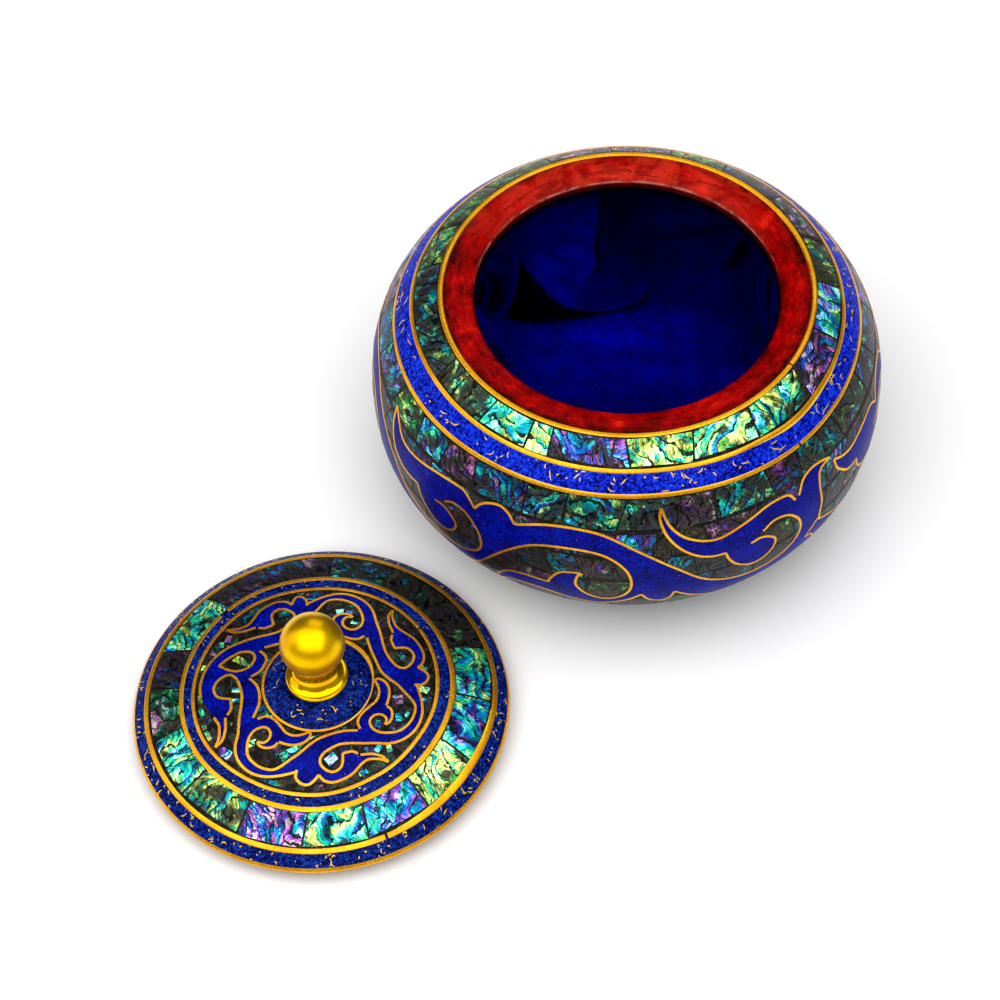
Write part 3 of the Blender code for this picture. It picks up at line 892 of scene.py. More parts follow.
# Patches of painted light and shade, a little lighter or darker: across, down, half width and half height in
# pixels, change
VELVET_GLOWS = [
    (597, 338, 50, 13, 0.62), (655, 322, 60, 14, 0.25), (640, 404, 95, 15, -0.42),
    (512, 346, 18, 18, -0.35), (748, 352, 28, 24, -0.5), (590, 240, 12, 45, 0.25),
    (516, 232, 15, 14, -0.25), (562, 260, 22, 18, 0.22), (560, 197, 32, 8, -0.25),
    (618, 212, 20, 34, -0.55), (650, 256, 24, 16, -0.45), (690, 219, 34, 8, 0.45),
    (712, 250, 26, 16, 0.3), (700, 292, 42, 20, 0.35), (744, 300, 16, 30, -0.35),
    (745, 250, 10, 16, -0.4), (498, 300, 14, 12, -0.5), (640, 200, 60, 8, -0.3),
]

# Painted highlights along ridges and painted shade in deep creases: half width in pixels, lightness added or
# share taken away, and points
VELVET_PAINTED_RIDGES_AND_CREASES = [
    (1.3, 0.22, [(599, 188), (598, 208), (597, 228), (593, 243), (592, 252), (596, 262), (593, 272)]),
    (1.1, 0.34, [
        (497, 240.5), (510, 247), (516.5, 258), (517.5, 270), (515, 285), (511, 298), (505, 309),
        (499, 317),
    ]),
    (1.1, 0.6, [(479, 273.5), (485, 278.5), (487.6, 287), (486.3, 297), (481.5, 306)]),
    (1.3, 0.38, [(475, 307), (486, 322), (501, 341), (516, 361), (532, 382)]),
    (1.1, 0.25, [(487, 337), (495, 343), (503, 352), (509, 362)]),
    (1.1, 0.5, [(741, 230), (737, 240), (733, 248), (727, 256)]),
    (1.1, 0.4, [(759, 258), (757.5, 285), (758, 305), (761, 322)]),
    (1.2, 0.4, [(765, 262), (763, 285), (764, 310), (767, 335)]),
    (1.5, 0.45, [(777, 280), (772.5, 300), (772, 320), (773.5, 333)]),
    (1.0, 0.35, [(738.7, 346), (741, 355), (744.6, 368)]),
    (1.7, -0.9, [(655, 233.5), (668, 237), (680, 236.3), (700, 231.5), (729, 224.5)]),
    (1.4, -0.8, [(490, 339), (497, 347), (504, 358), (512, 369)]),
    (1.5, -0.9, [(769, 280), (768, 305), (769.5, 330), (771.5, 343)]),
    (1.1, -0.7, [(761.6, 262), (760.6, 290), (761.5, 318)]),
    (1.4, -0.5, [(741.5, 346), (744, 356), (747.5, 368)]),
    (2.0, -0.8, [(601.5, 190), (601, 208), (600, 228), (596.5, 243), (596, 251), (599, 262), (597, 270)]),
]


def nearest_on(across, down, points):
    """For each place, its distance to a line of points, which side it is on, and the third number there."""
    nearest = np.full(len(across), 1e9)
    amount, side = np.zeros(len(across)), np.ones(len(across))
    for start, end in zip(points, points[1:]):
        du, dv = end[0] - start[0], end[1] - start[1]
        from_start, above_start = across - start[0], down - start[1]
        share = np.clip((from_start * du + above_start * dv) / (du * du + dv * dv), 0.0, 1.0)
        gap = np.hypot(from_start - share * du, above_start - share * dv)
        closer = gap < nearest
        nearest = np.where(closer, gap, nearest)
        side = np.where(closer, np.sign(du * above_start - dv * from_start), side)
        if len(start) > 2:
            amount = np.where(closer, start[2] + (end[2] - start[2]) * share, amount)
    return nearest, side, amount


def within(across, down, outline, soft):
    """How far each place is inside an outline, from 0 to 1 over a soft edge."""
    inside = np.zeros(len(across), dtype=bool)
    closed = outline + outline[:1]
    for (u0, v0), (u1, v1) in zip(closed, closed[1:]):
        if v0 != v1:
            inside ^= ((v0 > down) != (v1 > down)) & (across < u0 + (down - v0) * (u1 - u0) / (v1 - v0))
    nearest, _, _ = nearest_on(across, down, closed)
    return eased(np.clip(0.5 + np.where(inside, nearest, -nearest) / (2 * soft), 0.0, 1.0))


def patch(across, down, u, v, wide, high):
    """A soft patch of the picture, 1 in its middle."""
    return np.exp(-((across - u) / wide) ** 2 - ((down - v) / high) ** 2)


def pile_and_painted_light(across, down):
    """Lightness of the pile over the picture: the pile's lie, with painted light and shade from the folds."""
    nap_and_painted_light = np.full(len(across), COMMON_PILE_LIGHT)
    for _, light, soft, outline in VELVET_PILE_AND_PAINTED_LIGHT:
        nap_and_painted_light += (light - nap_and_painted_light) * within(across, down, outline, soft)
    for u, v, wide, high, change in VELVET_GLOWS:
        nap_and_painted_light *= 1 + change * patch(across, down, u, v, wide, high)
    for width, change, points in VELVET_PAINTED_RIDGES_AND_CREASES:
        near = np.exp(-(nearest_on(across, down, points)[0] / width) ** 2)
        nap_and_painted_light = nap_and_painted_light + change * near if change > 0 else nap_and_painted_light * (1 + change * near)
    return nap_and_painted_light


def lift_of_folds(across, down):
    """How far the folds that the picture shows lift the cloth, in mm, with the swell of the floor."""
    lift = np.full(len(across), 2.0)
    for _, falls_first, falls_second, points in VELVET_FOLDS:
        nearest, side, height = nearest_on(across, down, points)
        lift += height * np.exp(-(nearest / np.where(side < 0, falls_first, falls_second)) ** 2)
    return lift + 2.5 * patch(across, down, 630, 365, 110, 45)


def velvet_section():
    """The lining's section, from the middle of the floor up its front and down its back, and its wall."""
    outer_radii, outer_heights = bowl_curve(WALL_THICKNESS + 0.4 * MM)
    inner_radii, inner_heights = bowl_curve(WALL_THICKNESS + 3.0 * MM)
    cup_top = OPENING_RADIUS + 0.7 * MM
    keep = inner_heights > VELVET_FLOOR + 3.5 * MM
    keep &= (inner_heights < LINING_TOP - 2.3 * MM) & (inner_radii > cup_top)
    wall_radii, wall_heights = inner_radii[keep][::-1], inner_heights[keep][::-1]
    turn_in = wall_radii[0] - 7 * MM
    corner = [
        (turn_in + (wall_radii[0] - turn_in) * math.sin(turn),
         wall_heights[0] - (wall_heights[0] - VELVET_FLOOR) * math.cos(turn))
        for turn in np.linspace(0, math.pi / 2, 20)
    ]
    path = [(radius, VELVET_FLOOR) for radius in np.linspace(0.0, turn_in, 30)[:-1]] + corner
    path += list(zip(wall_radii, wall_heights))[1:] + [(cup_top, LINING_TOP - 1.3 * MM)]
    edge = OPENING_RADIUS - 0.35 * MM
    path = np.array(path + [(edge, LINING_TOP - 0.6 * MM), (edge, VELVET_EDGE)])
    steps = np.concatenate([[0.0], np.cumsum(np.hypot(*np.diff(path, axis=0).T))])
    floor = 28 * MM
    marks = np.concatenate([np.linspace(0.0, floor, 24)[:-1], np.linspace(floor, steps[-1], 150)])
    front = list(zip(np.interp(marks, steps, path[:, 0]), np.interp(marks, steps, path[:, 1])))
    keep = outer_heights > LINING_FLOOR + 0.6 * MM
    keep &= (outer_heights < LINING_TOP) & (outer_radii > cup_top)
    collar = OPENING_RADIUS - 0.03 * MM
    back = [(collar, VELVET_EDGE), (collar, LINING_TOP + 0.5 * MM)]
    back += list(zip(outer_radii[keep], outer_heights[keep]))[::24]
    back += [(back[-1][0] - 2 * MM, LINING_FLOOR), (20 * MM, LINING_FLOOR), (0.0, LINING_FLOOR)]
    return front + back, wall_radii, wall_heights


def seen_by_camera(spots):
    """Where places fall on the picture that the camera takes, across and down, and the way back to it."""
    camera = bpy.context.scene.camera
    gaze = spots - np.array(camera.location)
    local = gaze @ np.array(camera.matrix_world.to_3x3())
    focal = camera.data.lens / camera.data.sensor_width * PICTURE_SIZE
    middle = PICTURE_SIZE / 2
    across, down = middle + focal * local[:, 0] / -local[:, 2], middle - focal * local[:, 1] / -local[:, 2]
    return across, down, -gaze / np.linalg.norm(gaze, axis=1)[:, None]


def velvet_lining(velvet):
    """Loose velvet over the inside of the bowl: folds on the wall, a soft floor, and a thin pad behind."""
    section, wall_radii, wall_heights = velvet_section()
    cloth = spin_section("velvet_lining_cloth", section, open_at_axis=True, steps=VELVET_STEPS)
    spots = points_of(cloth.data)
    radii = np.hypot(spots[:, 0], spots[:, 1])
    bearings = np.arctan2(spots[:, 0], spots[:, 1])
    bearings = bearings - 0.45 * np.sin(bearings)
    spots[:, 0], spots[:, 1] = radii * np.sin(bearings), radii * np.cos(bearings)
    across, down, toward = seen_by_camera(spots)

    # Folds as in the picture where it shows the cloth, and plain waves under the front of the lip
    seen = np.clip((spots[:, 1] + 12 * MM) / (14 * MM), 0.0, 1.0)
    wall = np.clip((radii - 30 * MM) / (15 * MM), 0, 1)
    waves = 1.8 + 1.4 * np.sin(bearings * 7 + 2 * np.sin(bearings * 3)) * wall
    lift = waves + (lift_of_folds(across, down) - waves) * seen
    free = np.clip((LINING_TOP - 1.5 * MM - spots[:, 2]) / (9 * MM), 0.0, 1.0)
    lift = np.maximum(lift, -2.0) * MM * eased(free)
    front = radii < np.interp(spots[:, 2], wall_heights, wall_radii) + 0.3 * MM
    front &= spots[:, 2] > VELVET_FLOOR - 0.3 * MM
    lift = np.where(front, lift, 0.0)

    # Seen folds rise towards the camera, hidden ones towards the bowl's axis
    inward = np.column_stack([-np.sin(bearings), -np.cos(bearings), np.full(len(bearings), 0.6)])
    inward /= np.linalg.norm(inward, axis=1)[:, None]
    spots += (inward + (toward - inward) * seen[:, None]) * lift[:, None]
    cloth.data.vertices.foreach_set("co", spots.ravel())
    cloth.data.update()

    # Painted light and shade of the folds where the cloth is seen, an even level where it is hidden
    nap_and_painted_light = HIDDEN_PILE_LIGHT + (pile_and_painted_light(across, down) - HIDDEN_PILE_LIGHT) * seen
    # Painted shadow: the cloth's top under the lip is darkened nearly to black
    collar = [LINING_TOP + part * MM for part in (-0.75, -0.5, 0.8, 2.4)]
    nap_and_painted_light *= np.interp(spots[:, 2], collar, [1.0, 0.45, 0.40, 0.03])
    colours = cloth.data.color_attributes.new("nap_and_painted_light", "FLOAT_COLOR", "POINT")
    colours.data.foreach_set("color", np.column_stack([nap_and_painted_light, nap_and_painted_light, nap_and_painted_light, np.ones(len(nap_and_painted_light))]).ravel())
    take_up(cloth)
    bpy.ops.object.shade_smooth()
    finish_piece(cloth, velvet, "velvet", "velvet_lining")


# Inlay

def slip_blank():
    """A slip of shell as it comes from the saw: square, its top edges just broken."""
    clear_selection()
    bpy.ops.mesh.primitive_grid_add(x_subdivisions=8, y_subdivisions=5, size=SLIP_BLANK)
    blank = bpy.context.object
    blank.name = blank.data.name = "slip_blank"
    thicken(blank, SLIP_THICKNESS)
    soften_edges(blank, 0.06 * MM, 1)
    return blank


def saw_slip(name, blank, ground, corners, rise, straight, dice, tone):
    """Cut a slip to four corners of (bearing, reach), near left first and round by the right.

    Its sides are bent with the ring or, as far as straight says, ruled. It is still flat.
    """
    piece = blank.copy()
    piece.data = blank.data.copy()
    piece.name = piece.data.name = name
    bpy.context.scene.collection.objects.link(piece)
    flat = points_of(piece.data)
    across = (flat[:, 0] / (SLIP_BLANK / 2) + 1) / 2
    down = (1 - flat[:, 1] / (SLIP_BLANK / 2)) / 2
    weights = np.column_stack([
        (1 - across) * (1 - down), across * (1 - down), across * down, (1 - across) * down,
    ])
    marks = weights @ np.array(corners)
    turns = np.radians(marks[:, 0])
    reach = ground.hub + marks[:, 1]
    bent = np.column_stack([reach * np.sin(turns), -reach * np.cos(turns)])
    spots = np.array([flat_point(ground, *corner) for corner in corners])
    ruled = weights @ spots
    placed = bent + (ruled - bent) * straight
    piece.data.vertices.foreach_set("co", np.column_stack([placed, flat[:, 2] + rise]).ravel())
    cut_uv(piece, dice, tone)
    return piece


def tile_slips(name, blank, ground, joints, inner, outer, shell, tones, node_prefix, seed):
    """The ring of abalone slips, each cut to its place between two joints."""
    dice = random.Random(seed)
    radius = float(np.interp(outer, ground.reaches, ground.radii))
    half = math.degrees(SLIP_JOINT / 2 / radius)
    slants = [dice.uniform(-1.1, 1.1) for _ in joints]
    for index, start in enumerate(joints):
        following = (index + 1) % len(joints)
        end = start + (joints[following] - start) % 360
        near, far = inner + dice.uniform(0.0, 0.15) * MM, outer - dice.uniform(0.0, 0.3) * MM
        corners = [
            (start + half - slants[index], near + dice.uniform(0, 0.25) * MM),
            (end - half - slants[following], near + dice.uniform(0, 0.25) * MM),
            (end - half + slants[following], far - dice.uniform(0, 0.5) * MM),
            (start + half + slants[index], far - dice.uniform(0, 0.5) * MM),
        ]
        piece = saw_slip(f"{name}_{index + 1:02d}", blank, ground, corners, SHELL_RISE,
                         dice.uniform(0.1, 0.6), dice, tones[index])
        lay_on(piece, ground)
        shade(piece)
        finish_piece(piece, shell, "abalone", f"{node_prefix}_{index + 1:02d}")


def lay_strips(name, ground, strokes, width, rise, depth=0.5 * MM, tapered=False):
    """Brass strips, even or drawn out thin at the ends, bent along strokes of (bearing, reach) and laid."""
    points, faces = [], []
    for number, stroke in enumerate(strokes):
        marks = np.array(stroke)
        bearings, reaches = np.radians(marks[:, 0]), marks[:, 1]
        radii = np.maximum(np.interp(reaches, ground.reaches, ground.radii), 1 * MM)
        along = np.column_stack([np.gradient(bearings) * radii, np.gradient(reaches)])
        along /= np.maximum(np.linalg.norm(along, axis=1), 1e-9)[:, None]
        level = rise + 0.004 * MM * (number % 3)
        half = np.full(len(marks), width / 2)
        if tapered:
            half *= 0.25 + 0.75 * np.sin(np.linspace(0.0, math.pi, len(marks)))
        first = len(points)
        for side, height in ((1, level - depth), (1, level), (-1, level), (-1, level - depth)):
            turn = bearings - side * along[:, 1] * half / radii
            reach = ground.hub + reaches + side * along[:, 0] * half
            rim = np.column_stack([reach * np.sin(turn), -reach * np.cos(turn), np.full(len(turn), height)])
            points.extend(rim.tolist())
        count = len(marks)
        rows = [first + row * count for row in range(4)]
        for low, high in ((0, 1), (1, 2), (2, 3), (3, 0)):
            faces += [
                (rows[low] + step, rows[low] + step + 1, rows[high] + step + 1, rows[high] + step)
                for step in range(count - 1)
            ]
        faces.append(tuple(rows))
        faces.append(tuple(row + count - 1 for row in reversed(rows)))
    mesh = bpy.data.meshes.new(name)
    mesh.from_pydata(points, [], faces)
    piece = bpy.data.objects.new(name, mesh)
    bpy.context.scene.collection.objects.link(piece)
    take_up(piece)
    bpy.ops.object.mode_set(mode="EDIT")
    face_outwards()
    lay_on(piece, ground)
    shade(piece, 30)
    return piece


def fill_pattern(name, ground, outlines, rise, cut):
    """A sheet cut to closed outlines of (bearing, reach), scored so that it bends, and laid."""
    clear_selection()
    drawing = bpy.data.curves.new(name, "CURVE")
    drawing.dimensions = "2D"
    drawing.fill_mode = "BOTH"
    for outline in outlines:
        spline = drawing.splines.new("POLY")
        spline.points.add(len(outline) - 1)
        for point, (bearing, reach) in zip(spline.points, outline):
            point.co = (*flat_point(ground, bearing, reach), 0.0, 1.0)
        spline.use_cyclic_u = True
    piece = bpy.data.objects.new(name, drawing)
    bpy.context.scene.collection.objects.link(piece)
    take_up(piece)
    bpy.ops.object.convert(target="MESH")
    piece = bpy.context.object
    flat = points_of(piece.data)
    bpy.ops.object.mode_set(mode="EDIT")
    bpy.ops.mesh.select_all(action="SELECT")
    bpy.ops.mesh.remove_doubles(threshold=0.01 * MM)
    for axis in range(2):
        normal = tuple(float(axis == direction) for direction in range(3))
        line = math.floor(flat[:, axis].min() / cut) * cut + cut / 2
        while line < flat[:, axis].max():
            bpy.ops.mesh.select_all(action="SELECT")
            bpy.ops.mesh.bisect(plane_co=tuple(line * part for part in normal), plane_no=normal)
            line += cut
    face_outwards()
    if sum(face.normal.z for face in piece.data.polygons) < 0:
        bpy.ops.object.mode_set(mode="EDIT")
        bpy.ops.mesh.select_all(action="SELECT")
        bpy.ops.mesh.flip_normals()
        bpy.ops.object.mode_set(mode="OBJECT")
    thicken(piece, SCROLL_THICKNESS)
    flat = points_of(piece.data)
    flat[:, 2] += rise
    piece.data.vertices.foreach_set("co", flat.ravel())
    lay_on(piece, ground)
    shade(piece, 40)
    return piece


def cut_uv(piece, dice, tone):
    """Mark where in a shell a slip was sawn, in millimetres, and how it looks."""
    mesh = piece.data
    flat = points_of(mesh)
    turn = dice.uniform(0, math.tau)
    middle = flat.mean(axis=0)
    x, y = (flat[:, 0] - middle[0]) / MM, (flat[:, 1] - middle[1]) / MM
    u = x * math.cos(turn) - y * math.sin(turn) + dice.uniform(-400, 400)
    v = x * math.sin(turn) + y * math.cos(turn) + dice.uniform(-400, 400)
    corners = np.empty(len(mesh.loops), dtype=np.int32)
    mesh.loops.foreach_get("vertex_index", corners)
    layer = mesh.uv_layers.get("slip") or mesh.uv_layers.new(name="slip")
    layer.data.foreach_set("uv", np.column_stack([u[corners], v[corners]]).ravel())
    colours = mesh.color_attributes.get("tone") or mesh.color_attributes.new("tone", "FLOAT_COLOR", "POINT")
    colours.data.foreach_set("color", np.tile(tone, len(mesh.vertices)))


# Middle hue, lustre, share of dull patches and layers to the mm of each slip, from joint to joint. The lustre
# is set high on the slips at the front and low at the back, and the dull share the other way, as painted
# reflection of the light overhead
UPPER_TONES = [
    (0.10, 0.60, 0.50, 0.42), (0.08, 0.60, 0.50, 0.40), (0.30, 0.80, 0.48, 0.40), (0.47, 0.80, 0.53, 0.42),
    (0.42, 0.95, 0.56, 0.42), (0.34, 1.25, 0.53, 0.40), (0.38, 1.80, 0.34, 0.36), (0.26, 2.10, 0.26, 0.28),
    (0.62, 1.40, 0.46, 0.50), (0.27, 1.95, 0.40, 0.34), (0.33, 1.80, 0.43, 0.32), (0.38, 1.60, 0.46, 0.34),
    (0.68, 1.45, 0.48, 0.44), (0.50, 1.75, 0.34, 0.24), (0.30, 1.00, 0.56, 0.40), (0.80, 1.20, 0.52, 0.40),
    (0.66, 0.70, 0.55, 0.40), (0.14, 1.00, 0.48, 0.40), (0.80, 0.90, 0.48, 0.40), (0.84, 0.90, 0.48, 0.38),
]
LID_TONES = [
    (0.68, 0.60, 0.54, 0.42), (0.38, 1.30, 0.42, 0.50), (0.60, 0.55, 0.57, 0.42), (0.92, 1.15, 0.50, 0.36),
    (0.38, 1.50, 0.40, 0.40), (0.38, 1.05, 0.50, 0.40), (0.66, 1.65, 0.22, 0.60), (0.38, 1.45, 0.40, 0.36),
    (0.54, 1.60, 0.38, 0.36), (0.28, 2.00, 0.44, 0.40), (0.50, 1.50, 0.34, 0.38), (0.44, 1.20, 0.44, 0.38),
    (0.45, 0.45, 0.60, 0.42), (0.40, 0.45, 0.60, 0.42), (0.50, 0.80, 0.54, 0.42), (0.62, 0.70, 0.54, 0.42),
]
BOWL_JOINTS = [-160, -140, -120, -104, -84, -65, -45.5, -31.5, -25, -3.5,
               14.5, 33, 53, 71.5, 90, 107.5, 127, 146, 163, 181]
LID_JOINTS = [-160, -138, -112, -95, -75, -52, -28, -5, 17, 39, 61.5, 85, 107.5, 130, 153, 176]


def make_rim_wire(metal):
    """The wire on the rim's corner: a low bead that turns down into the slope."""
    top = BOWL_HEIGHT
    section = [
        (RIM_RADIUS - 1.15 * MM, top - 1.0 * MM), (RIM_RADIUS - 1.15 * MM, top - 0.22 * MM),
        (RIM_RADIUS - 1.02 * MM, top - 0.07 * MM), (RIM_RADIUS - 0.7 * MM, top),
        (RIM_RADIUS - 0.25 * MM, top), (RIM_RADIUS + 0.08 * MM, top - 0.1 * MM),
        (RIM_RADIUS + 0.28 * MM, top - 0.24 * MM), (RIM_RADIUS + 0.34 * MM, top - 0.5 * MM),
        (RIM_RADIUS - 0.2 * MM, top - 1.2 * MM),
    ]
    turned_piece("rim_wire_strip", section, 50, metal, "brass_wire", "rim_wire", start=54.2, sweep=359.4)


def smooth_stroke(points):
    """A flowing line through given points of (bearing, reach)."""
    path = [Vector(point) for point in points]
    if len(path) < 3:
        return [tuple(point) for point in path]
    ends = [path[0] * 2 - path[1]] + path + [path[-1] * 2 - path[-2]]
    line = []
    for before, start, end, after in zip(ends, ends[1:], ends[2:], ends[3:]):
        for step in range(STROKE_STEPS):
            t = step / STROKE_STEPS
            line.append(tuple(0.5 * (
                start * 2 + (end - before) * t
                + (before * 2 - start * 5 + end * 4 - after) * t * t
                + (start * 3 - before - end * 3 + after) * t * t * t
            )))
    return line + [tuple(path[-1])]


# The scroll on the belly, from leaf tip to leaf tip, in (degrees from the tip, mm down the slope)
BELLY_STEM = [(-32.5, 26), (-26, 23.5), (-19, 22.8), (-12, 24), (-4, 29), (3, 35), (10, 42), (18, 46),
              (25, 46.3), (30, 44), (33, 40), (33, 35), (30, 30.5), (26, 29.3), (23, 31)]
BELLY_CURL = [(20, 33.3), (23, 33), (26, 35.5), (26, 38.5), (23.8, 41.2), (20.6, 41.8), (17, 39.5),
              (15, 36.5), (14, 33.5)]
BELLY_LEAF_UNDER = [(14, 33.5), (11, 33.3), (7.5, 31.7), (3.8, 28.3), (1.0, 24), (-0.3, 19.8), (0, 17.2)]
FAR_LEAF_UNDER = [(14, 33.5), (11, 34), (7.7, 33.7), (4, 31.2), (1.3, 25.5), (0.4, 20.8)]
FAR_LEAF_TOP = [(0.4, 20.8), (2.9, 23), (6.6, 26), (12, 26.2), (20.3, 24.4), (26.7, 23.7), (29, 24.7),
                (31.2, 27)]
FAR_LOBE = [(31.2, 27), (32.4, 25), (34.3, 23.5), (37.2, 22.7), (39.6, 23.8), (41.3, 26.1)]
SIDE_CURL = [(18, 33.8), (21, 34), (23, 37), (22, 40), (17.5, 42), (12.5, 40.5), (9.5, 37.5), (8.5, 33.7)]
SIDE_LEAF_UNDER = [(8.5, 33.7), (5.1, 32.9), (2.9, 30.5), (1.4, 28.1), (0.9, 25)]
SIDE_LEAF_TOP = [(0.9, 25), (3.9, 26.8), (7.3, 27.4), (12.2, 26.6), (17.4, 26.3), (20.4, 28.8)]
SIDE_CREST = [(20.4, 28.8), (22, 25.8), (26, 24), (30, 24.5), (32, 27)]
BELLY_LEAF_TOP = [(0, 17), (2, 22), (6, 26), (12, 28), (19, 26), (25, 24), (30, 24.3), (32, 27)]
BELLY_LOBE = [(32.5, 28), (34, 24.5), (37, 23), (40, 24.5), (41.5, 26)]
SEAM_LOBE = [(33.1, 26.4), (35.1, 22.9), (38.3, 21.7), (41.6, 22.3), (43.9, 23.3)]
SEAM_EDGE = [(43.9, 23.3), (40.3, 24.2), (39.4, 28.4), (39.8, 34.1), (39.4, 38.5), (39.5, 41)]
SEAM_STEM = [(-4.5, 41), (-1, 43), (4, 46), (10, 47.5), (18, 48), (25, 46.3), (30, 44), (33, 40), (33, 35),
             (30, 30.5), (26, 29.3), (23, 31), (20.8, 32.6)]
SEAM_SPUR = [(39, 40), (36, 44.5), (38, 46), (40, 50), (42, 54)]
BELLY_TROUGH = [(3, 45), (8, 50), (13, 53.5), (20, 55), (26, 53.5), (31, 49)]
BELLY_RING = [(31, 49), (38, 38), (45, 31), (53, 28.8), (61, 29.5), (66, 34), (67.5, 40), (66, 45),
              (62, 47.8), (58, 46), (55.5, 42), (56, 38), (57, 37.2)]
LOWER_CURL = [(57, 37.2), (55, 37), (52, 38), (50, 41), (49.3, 43.3)]
LOWER_LEAF_TOP = [(49.3, 43.3), (43.5, 43.3), (39.3, 45), (36.4, 50), (35, 57)]
LOWER_LEAF_UNDER = [(35, 57), (36.8, 52.5), (40.7, 48.8), (48, 48.3), (55, 50.8), (60, 52), (66.4, 48.3),
                    (69.7, 45)]
LOWER_LOBE = [(69.7, 45), (71.5, 48.3), (74, 49.8), (76, 48.3), (77, 45)]
SEAM_TROUGH = [(3, 45), (8, 50), (13, 53.5), (20, 55), (30, 56), (42, 56.5), (54, 56.5), (64, 56), (72, 54),
               (79.19, 49)]

LOWER_LEAF = [BELLY_RING, LOWER_CURL, LOWER_LEAF_TOP, LOWER_LEAF_UNDER, LOWER_LOBE]
BELLY_LEAF = [BELLY_STEM, BELLY_CURL, BELLY_LEAF_UNDER, BELLY_LEAF_TOP]
FAR_LEAF = [BELLY_STEM, BELLY_CURL, FAR_LEAF_UNDER, FAR_LEAF_TOP]
SIDE_LEAF = [SEAM_STEM, SIDE_CURL, SIDE_LEAF_UNDER, SIDE_LEAF_TOP, SIDE_CREST]

# Repeats of the belly's scroll: tip and width in degrees, and the strokes over and under it. The third is
# cut short by a seam, the fourth mends it, and the second was drawn by another hand. The strokes are drawn
# for a repeat of SCROLL_REPEAT.
SCROLL_REPEAT = 74
BELLY_REPEATS = [
    (-144, 74, BELLY_LEAF + [BELLY_LOBE], [BELLY_TROUGH] + LOWER_LEAF),
    (-70, 74, FAR_LEAF + [FAR_LOBE], [BELLY_TROUGH] + LOWER_LEAF),
    (4, 74, BELLY_LEAF + [SEAM_LOBE, SEAM_EDGE], [SEAM_TROUGH]),
    (48, 84, SIDE_LEAF + [BELLY_LOBE], LOWER_LEAF),
    (132, 84, BELLY_LEAF + [BELLY_LOBE], [BELLY_TROUGH] + LOWER_LEAF),
]
SEAM_TIP = BELLY_REPEATS[2][0]


def belly_strokes():
    """The strokes over and under the belly's scroll, in order round the bowl."""
    over, under = [], []
    for index, (tip, width, tops, troughs) in enumerate(BELLY_REPEATS):
        before = BELLY_REPEATS[index - 1][1]

        def placed(points):
            sides = [(part, width if part > 0 else before, mark) for part, mark in points]
            return [(tip + part * side / SCROLL_REPEAT, mark * MM) for part, side, mark in sides]

        over += [placed(stroke) for stroke in tops]
        under += [placed(stroke) for stroke in troughs]
    return over, under


# The scroll on the lid, in (share of a repeat, mm from the axis)
SHARE_MARKS = [0, 0.36, 0.437, 0.595, 0.87, 1, 1.36, 1.437, 1.595, 1.87, 2, 2.36, 2.437, 2.595, 2.87, 3,
               3.36, 3.595, 3.7]
SHARE_BEARINGS = [-100, -57.4, -50.7, -36, -12, 1.5, 37, 44.5, 60, 87, 99.8, 139.5, 147.8, 164, 187, 196.5,
                  232, 265, 276]
INNER_LEAF_TOP = [(0.361, 16.6), (0.381, 15), (0.432, 14.1), (0.514, 13.9), (0.595, 14.4), (0.676, 15.1),
                  (0.758, 15.1), (0.839, 14.4), (0.905, 13.4)]
INNER_LEAF_UNDER = [(0.905, 13.4), (0.921, 14.3), (0.89, 15.9), (0.829, 17.1), (0.748, 17.7), (0.661, 17.9)]
INNER_HOOK = [(0.656, 18.2), (0.646, 19.4), (0.605, 20.5), (0.554, 20.9), (0.519, 20.4)]
INNER_STEM = [(0.519, 20.4), (0.56, 19.8), (0.573, 18.4), (0.554, 17.1), (0.509, 16.5), (0.463, 16.9),
              (0.437, 18.4), (0.443, 20.1), (0.473, 21.9), (0.534, 24.2), (0.605, 25.1), (0.676, 25.1),
              (0.738, 24.2), (0.80, 21.4), (0.86, 19.2), (0.915, 17), (0.98, 15.4), (1.05, 14.7),
              (1.137, 14.5), (1.219, 14.8), (1.29, 15.7), (1.336, 16.6)]
INNER_STROKES = [INNER_LEAF_TOP, INNER_LEAF_UNDER, INNER_HOOK, INNER_STEM]
OUTER_LOBE = [(-0.13, 23.3), (-0.127, 25.1), (-0.097, 26.4), (-0.061, 26.6), (-0.031, 25.5), (-0.01, 24.3)]
OUTER_LEAF_UNDER = [(-0.01, 24.3), (0.015, 25.7), (0.056, 26.5), (0.107, 26.5), (0.168, 26), (0.229, 24.8),
                    (0.28, 24.5), (0.331, 25.8), (0.36, 27.7)]
OUTER_LEAF_TOP = [(0.36, 27.7), (0.351, 25.5), (0.31, 23.6), (0.254, 22.5)]
OUTER_HOOK = [(0.244, 21.9), (0.214, 20.7), (0.153, 20.3)]
OUTER_STEM = [(0.153, 20.3), (0.137, 22.3), (0.117, 23.5), (0.076, 24.1), (0.036, 23.4), (0.005, 21.9),
              (0, 20.5), (0.025, 19.1), (0.076, 18.2), (0.148, 17.8), (0.219, 18.4), (0.29, 19.8),
              (0.371, 21.9), (0.443, 24.7), (0.514, 26.5), (0.595, 27.3), (0.676, 27), (0.758, 25.8),
              (0.829, 24.5), (0.87, 23.8)]
LAST_ARCH = [(-125.5, 16.9), (-124, 15.1), (-120, 14.1), (-114, 13.9), (-108, 14.1), (-103, 15), (-100, 15.9)]
LAST_CREST = [(0.017, 16.2), (0.05, 15), (0.1, 14.1), (0.17, 13.9), (0.24, 14.4), (0.29, 15.5), (0.335, 17.2)]
